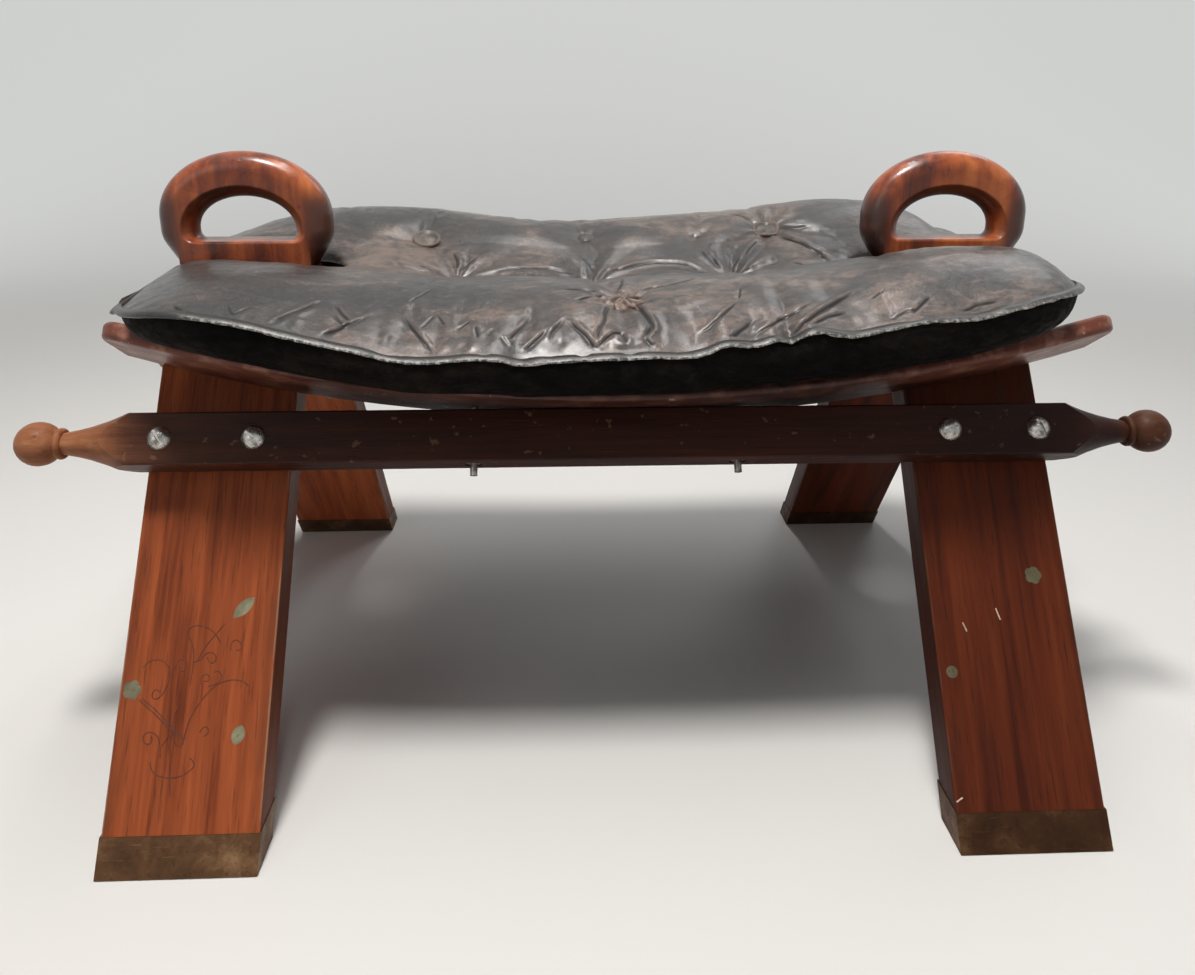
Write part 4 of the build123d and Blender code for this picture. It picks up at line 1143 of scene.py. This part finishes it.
def keep_values(piece, top, crease_shade, rub):
    """Give the cut skin the creases' values of the nearest points of the grid, and its worn spots."""
    tree = KDTree(crease_shade.size)
    for number, point in enumerate(top.reshape(-1, 3)):
        tree.insert(point, number)
    tree.balance()
    seen_at = photo_place(top.reshape(-1, 3))
    scuff = np.zeros(len(seen_at))
    for x, y, reach, strength in WORN_SPOTS:
        down = (seen_at[:, 1] - y) / (WORN_SPOT_FLATNESS * reach)
        gap = np.hypot((seen_at[:, 0] - x) / reach, down)
        scuff = np.maximum(scuff, strength * np.exp(-gap ** 2))
    found = [tree.find(vertex.co / MM) for vertex in piece.data.vertices]
    numbers = np.array([number for place, number, gap in found])
    near = np.array([gap < VALUE_REACH for place, number, gap in found])
    layers = {"crease_shade": crease_shade.ravel(), "rub": rub.ravel(), "scuff": scuff}
    set_values(piece, **{name: np.where(near, values[numbers], 0) for name, values in layers.items()})


# Piping: the seam's flange, whose edge is worn pale except at the ends. Mouth and corner are offsets along X
# and Y, the worn part is a stretch of X, and the dash is its least paleness, its swing and its length
PIPING_REACH = 3.0
PIPING_THICKNESS = 1.5
PIPING_DROP = 0.55
PIPING_STEP = 1.6
PIPING_EARS = (0.7, 0.15)
PIPING_EAR_REACH = 3.5
PIPING_MOUTH = (2.4, 1.5)
PIPING_CORNER = (1.6, 2.5)
PIPING_WORN = (-203, 236)
PIPING_WORN_FADE = 12
PIPING_WAVE = 2.2
PIPING_WAVE_RISE = 0.35
PIPING_UNEVENNESS = 0.10
PIPING_END_THICKENING = 0.9
PIPING_FRAY_THICKENING = 0.12
PIPING_DASH = (0.62, 0.38, 4.8)
PIPING_PROFILE = [(-1.6, 0.75), (0.25, 1.0), (0.7, 0.85), (0.95, 0.5), (1.0, 0.0), (0.95, -0.5), (0.7, -0.85),
                  (0.25, -1.0), (-1.6, -0.75)]
PIPING_EDGE = [0, 0, 0.35, 1, 1, 1, 0.35, 0, 0]


def even_line(points, step):
    """The same line with even steps."""
    gaps = np.linalg.norm(np.diff(points, axis=0), axis=1)
    places = np.concatenate([[0], np.cumsum(gaps)])
    even = np.linspace(0, places[-1], max(4, round(places[-1] / step)))
    return np.stack([np.interp(even, places, points[:, k]) for k in range(3)], axis=1)


def smoothed(values, times):
    """Values or points, each drawn towards its neighbours. Both ends stay."""
    for _ in range(times):
        inner = 0.25 * values[:-2] + 0.5 * values[1:-1] + 0.25 * values[2:]
        values = np.concatenate([values[:1], inner, values[-1:]])
    return values


def unit(vectors):
    return vectors / np.linalg.norm(vectors, axis=1, keepdims=True)


def piping_end(corner, end_top, outward):
    """Where the piping starts at the notch's mouth, and how it rounds the corner."""
    mouth = corner + np.array([math.copysign(PIPING_MOUTH[0], corner[0]), 0, 0])
    mouth[1] = outward * (NOTCH_HALF_WIDTH + PIPING_MOUTH[1])
    mouth[2] = np.interp(mouth[1], end_top[:, 1], end_top[:, 2])
    across, inward = PIPING_CORNER
    return [mouth, corner + np.array([math.copysign(across, corner[0]), -inward * outward, 0])]


def make_piping(name, seam, end_tops, outward, material, seed):
    """Flange along one seam, from notch to notch round the cushion's ends, with an ear at each corner."""
    corners = (seam[0], seam[-1])
    start, end = (piping_end(corner, end_top, outward) for corner, end_top in zip(corners, end_tops))
    line = smoothed(even_line(np.concatenate([start, seam[2:-2], end[::-1]]), PIPING_STEP), 2)
    count = len(line)
    ahead = unit(np.gradient(line, axis=0))
    out = unit(np.cross(ahead, [0, 0, 1]) * -outward)
    out[:, 2] = -PIPING_DROP
    out = unit(out)
    rise = np.cross(out, ahead) * -outward
    chance = np.random.default_rng(seed)
    wave = smoothed(chance.normal(0, 1, count), 10) * PIPING_WAVE
    fray = smoothed(chance.normal(0, 1, count), 1)
    low, high = PIPING_WORN
    inside = np.clip((line[:, 0] - low) / PIPING_WORN_FADE, 0, 1)
    inside *= np.clip((high - line[:, 0]) / PIPING_WORN_FADE, 0, 1)
    ear = sum(size * np.exp(-(np.linalg.norm(line - corner, axis=1) / PIPING_EAR_REACH) ** 2)
              for size, corner in zip(PIPING_EARS, corners))
    reach = PIPING_REACH * (1 + PIPING_UNEVENNESS * (wave + fray) * inside + ear)
    swell = PIPING_END_THICKENING * (1 - inside) + PIPING_FRAY_THICKENING * fray * inside
    thick = PIPING_THICKNESS / 2 * (1 + swell)
    least, swing, length = PIPING_DASH
    sections, edges = [], []
    for i in range(count):
        centre = line[i] + rise[i] * PIPING_WAVE_RISE * wave[i] * inside[i]
        sections.append([centre + out[i] * a * (reach[i] if a > 0 else 1) + rise[i] * b * thick[i]
                         for a, b in PIPING_PROFILE])
        dash = least + swing * math.cos(2 * math.pi * i * PIPING_STEP / length)
        edges.append([e * inside[i] * dash for e in PIPING_EDGE])
    piece = mesh_object(name, *tube(sections), material)
    set_values(piece, worn_edge=edges)
    return piece


# Buttons: profiles as shares of the radius and heights, and how far a wave tilts each kind
BUTTON_RIM = [(0.0, 1.5), (0.30, 1.35), (0.56, 0.75), (0.70, 0.80), (0.82, 2.1), (0.92, 2.1), (1.0, 1.1),
              (0.98, 0.1), (0.85, -0.9), (0.0, -1.1)]
BUTTON_DOME = [(0.0, 2.2), (0.30, 2.1), (0.58, 1.75), (0.80, 1.15), (0.94, 0.45), (1.0, -0.2), (0.9, -1.0),
               (0.0, -1.2)]
BUTTON_KINDS = {"rim": (BUTTON_RIM, 0.15), "dome": (BUTTON_DOME, 0.12), "knot": (BUTTON_RIM, 0.9)}
BUTTON_RIM_SHARE = (0.72, 0.86)
BUTTON_SEGMENTS = 40
BUTTON_SEAT = 0.8
BUTTON_LIFT = 0.4
BUTTON_FACING_POINTS = 400
KNOT_TWIST = 4.0
KNOT_LOBES = 7
KNOT_LUMP = 0.24
KNOT_HEIGHT = 0.62
KNOT_STRETCH = (1.25, 1.0, 0.8)


def lathe(profile, radius, tilt_wave):
    """Points and faces turned round Z; the first and last rows are the poles."""
    angles = np.linspace(0, 2 * math.pi, BUTTON_SEGMENTS, endpoint=False)
    points = [(0, 0, profile[0][1])]
    for share, height in profile[1:-1]:
        points += [(radius * share * math.cos(a), radius * share * math.sin(a),
                    height + tilt_wave * math.sin(3 * a) * share) for a in angles]
    points.append((0, 0, profile[-1][1]))
    last = 1 + (len(profile) - 3) * BUTTON_SEGMENTS
    faces = []
    for k in range(BUTTON_SEGMENTS):
        after = (k + 1) % BUTTON_SEGMENTS
        faces.append((0, 1 + k, 1 + after))
        for a in range(1, last, BUTTON_SEGMENTS):
            b = a + BUTTON_SEGMENTS
            faces.append((a + k, b + k, b + after, a + after))
        faces.append((last + k, len(points) - 1, last + after))
    return np.array(points, float), faces


def knot_form(radius):
    """Lumpy twisted knot of leather, as points and faces."""
    profile = [(math.sin(t), radius * KNOT_HEIGHT * math.cos(t)) for t in np.linspace(0, math.pi, 30)]
    points, faces = lathe(profile, radius, 0)
    reach = np.linalg.norm(points, axis=1, keepdims=True)
    x, y, z = (points / np.maximum(reach, 1e-6)).T
    angle = np.arctan2(points[:, 1], points[:, 0])
    swirl = np.cos(KNOT_LOBES * angle + KNOT_TWIST * z) * np.hypot(x, y)
    # Lumps from waves of uneven lengths, so that no two are alike
    lumps = np.sin(5.1 * x + 2) * np.sin(6.3 * y + 1) * np.cos(4.7 * z)
    crease = -np.abs(np.cos(KNOT_LOBES * angle / 2 + KNOT_TWIST * z))
    points *= (1 + KNOT_LUMP * (swirl + 0.7 * lumps + 0.6 * crease))[:, None]
    return points * np.array(KNOT_STRETCH), faces


def make_button(name, x, y, radius, kind, top, normals, material):
    gap = np.hypot(top[:, :, 0] - x, top[:, :, 1] - y)
    place = top[gap < BUTTON_SEAT * radius].mean(axis=0)
    wide = np.argsort(gap.ravel())[:BUTTON_FACING_POINTS]
    normal = Vector(normals.reshape(-1, 3)[wide].mean(axis=0)).normalized()
    if kind in BUTTON_KINDS:
        profile, tilt_wave = BUTTON_KINDS[kind]
        points, faces = lathe(profile, radius, tilt_wave)
    else:
        points, faces = knot_form(radius)
    turn = np.array(normal.to_track_quat("Z", "Y").to_matrix())
    out = np.hypot(points[:, 0], points[:, 1]) / radius
    pale = np.interp(out, BUTTON_RIM_SHARE, (0, 1)) if kind in ("rim", "knot") else np.zeros(len(points))
    points = points @ turn.T + place + np.array(normal) * BUTTON_LIFT
    piece = mesh_object("button_" + name, points, faces, material)
    set_values(piece, rub=pale)
    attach(piece, "cushion")
    return piece


# Engraved vine on the front left leg and knocks on the front right one. Their points are in the pixels of
# enlarged crops of the photograph, whose corners and zooms are given
VINE_CROP = (95, 580, 7.092)
VINES = [
    [(390, 1290), (392, 1345), (440, 1392), (540, 1408), (615, 1390), (680, 1350), (716, 1300), (672, 1262)],
    [(461, 1262), (460, 1170), (446, 1108), (395, 1072), (343, 1095), (336, 1148), (378, 1172), (412, 1142),
     (396, 1108)],
    [(472, 1180), (515, 1112), (565, 1088), (612, 1108), (632, 1150), (600, 1186), (562, 1166), (560, 1128)],
    [(530, 1540), (528, 1400), (530, 1250), (536, 1160), (542, 1090), (556, 1000), (580, 905), (612, 850)],
    [(312, 852), (400, 922), (500, 1030), (590, 1100), (642, 1132)],
    [(330, 840), (418, 905), (512, 1012), (602, 1096)],
    [(622, 1162), (640, 1080), (662, 1010), (700, 930), (750, 860), (800, 800), (852, 750), (922, 714),
     (1002, 704), (1062, 724), (1092, 756)],
    [(342, 622), (372, 580), (440, 560), (502, 582), (536, 642), (530, 702), (506, 762), (472, 822),
     (428, 852), (400, 828), (412, 788), (442, 772), (462, 800)],
    [(572, 642), (570, 602), (602, 560), (642, 570), (654, 612), (628, 652), (596, 640), (600, 606)],
    [(890, 445), (868, 398), (812, 342), (742, 318), (682, 330), (650, 372), (680, 432), (700, 492),
     (700, 562), (692, 642), (680, 702), (675, 742)],
    [(922, 310), (862, 380), (800, 450), (752, 520), (722, 580)],
    [(702, 582), (752, 570), (782, 522), (832, 508), (864, 548), (842, 592), (800, 582), (796, 548)],
    [(752, 742), (744, 702), (780, 662), (816, 684), (802, 724), (770, 716)],
    [(962, 502), (958, 450), (1000, 418), (1042, 450), (1040, 496), (1002, 500)],
    [(806, 752), (872, 740), (902, 690), (880, 640), (846, 652)],
    [(742, 1082), (760, 1042), (802, 1044), (806, 1092), (770, 1110)],
]
VINE_RADIUS = 0.28
KNOCK_CROP = (900, 450, 3.805)
KNOCKS = [[(238, 656), (246, 672), (254, 690)], [(364, 602), (370, 620), (382, 646)],
          [(216, 1340), (230, 1328), (238, 1324)]]
KNOCK_RADIUS = 0.42
LEG_FOOT = Vector((0, -190.35, 0))
LEG_LEAN = math.radians(LEG_LEAN_DEGREES)
LEG_FACE = Vector((0, -math.cos(LEG_LEAN), math.sin(LEG_LEAN)))


def on_leg_face(place, crop):
    """The point of the front legs' faces, in metres, seen at a place in a crop of the photograph."""
    right, up, forward = camera_axes()
    across = (crop[0] + place[0] / crop[2] - PRINCIPAL_PX[0]) / FOCAL_PX
    down = (crop[1] + place[1] / crop[2] - PRINCIPAL_PX[1]) / FOCAL_PX
    ray = forward + right * across - up * down
    reach = (LEG_FOOT - CAMERA_PLACE).dot(LEG_FACE) / ray.dot(LEG_FACE)
    return (CAMERA_PLACE + ray * reach) * MM


def draw_on_leg(name, routes, crop, radius, material):
    """Thin strokes on the leg's face, as one curve object."""
    curve = bpy.data.curves.new(name, "CURVE")
    curve.dimensions = "3D"
    curve.bevel_depth = radius * MM
    curve.bevel_resolution = 1
    curve.resolution_u = 6
    curve.use_fill_caps = True
    for route in routes:
        spline = curve.splines.new("NURBS")
        spline.points.add(len(route) - 1)
        for point, place in zip(spline.points, route):
            point.co = (*on_leg_face(place, crop), 1)
        spline.order_u = 3
        spline.use_endpoint_u = True
    curve.materials.append(material)
    piece = link(bpy.data.objects.new(name, curve))
    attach(piece, "frame")


def engrave_legs():
    line = clouded_paint("engraved_line", (0.075, 0.018, 0.007), (0.17, 0.046, 0.018), 400, 0.7)
    bare = clouded_paint("bare_wood", (0.45, 0.30, 0.22), (0.75, 0.60, 0.50), 900, 0.6)
    draw_on_leg("vine_engraving", VINES, VINE_CROP, VINE_RADIUS, line)
    draw_on_leg("leg_knocks", KNOCKS, KNOCK_CROP, KNOCK_RADIUS, bare)


def form_skin():
    """Grid of the cushion's sections with its tufts, settled top and creases, and where these get painted
    shade along their bottoms and are rubbed."""
    places = station_places(FINE_STATIONS)
    skin = np.stack([section(x, FINE_ROWS) for x in places])
    pull_tufts(skin, FINE_ROWS)
    skin[:, :TOP] += spread_settled(settle(), places, FINE_ROWS)
    normals = skin_normals(skin)[:, :TOP]
    crease_shade, rub = np.zeros((2, FINE_STATIONS, TOP))
    rows = row_places(FINE_ROWS)
    front_rows = (rows > FRONT_ZONE[0]) & (rows < FRONT_ZONE[1])
    for creases, zone in ((FRONT_CREASES, front_rows), (REAR_CREASES, rows > REAR_ZONE)):
        fold_skin(skin[:, :TOP], normals, crease_shade, rub, creases, np.broadcast_to(zone, crease_shade.shape))
    raise_underside(skin, FINE_ROWS)
    return skin, crease_shade, rub


def make_cushion(skin, crease_shade, rub):
    """The leather skin, glossy above the seams, and dull and darkened as painted shade below."""
    band_leather = leather("band_leather", BAND_TONES_AND_SHADE, (0.02, 0.016, 0.013), 0.0, 0.05, (0.55, 0.8))
    points, faces, below = closed_skin(skin, TOP)
    cushion = mesh_object("cushion_skin", points, faces,
                          leather("cover_leather", COVER_TONES, (0.20, 0.15, 0.125), 0.55))
    cushion.data.materials.append(band_leather)
    cushion.data.polygons.foreach_set("material_index", below)
    cut_notches(cushion, band_leather)
    keep_values(cushion, skin[:, :TOP], crease_shade, rub)
    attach(cushion, "cushion")
    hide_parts("cushion_cover", "cushion_stuffing")


def pipe_seams(skin):
    piping = piping_leather()
    end_tops = skin[[0, -1], :TOP]
    front_piping = make_piping("piping_front", skin[:, 0], end_tops, -1, piping, SEED + 1)
    rear_piping = make_piping("piping_rear", skin[:, TOP - 1], end_tops, 1, piping, SEED + 2)
    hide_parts("cushion_welt")
    for piece in (front_piping, rear_piping):
        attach(piece, "cushion")


def button_tufts(skin):
    plain = leather("button_leather", BUTTON_TONES, (0.20, 0.15, 0.12), 0.35)
    worn = leather("worn_leather", CRUMPLED_TONES, (0.06, 0.035, 0.025), 0.3)
    normals = skin_normals(skin)[:, :TOP]
    for x, y, *_, name, radius, kind in TUFTS:
        if name:
            material = worn if kind == "crumpled" else plain
            make_button(name, x, y, radius, kind, skin[:, :TOP], normals, material)
    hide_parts("cushion_buttons")


make_camera()
make_stage(floor_material())
for lamp in LAMPS:
    make_lamp(*lamp)
make_world()
paint_frame()
engrave_legs()
skin, crease_shade, rub = form_skin()
make_cushion(skin, crease_shade, rub)
pipe_seams(skin)
button_tufts(skin)
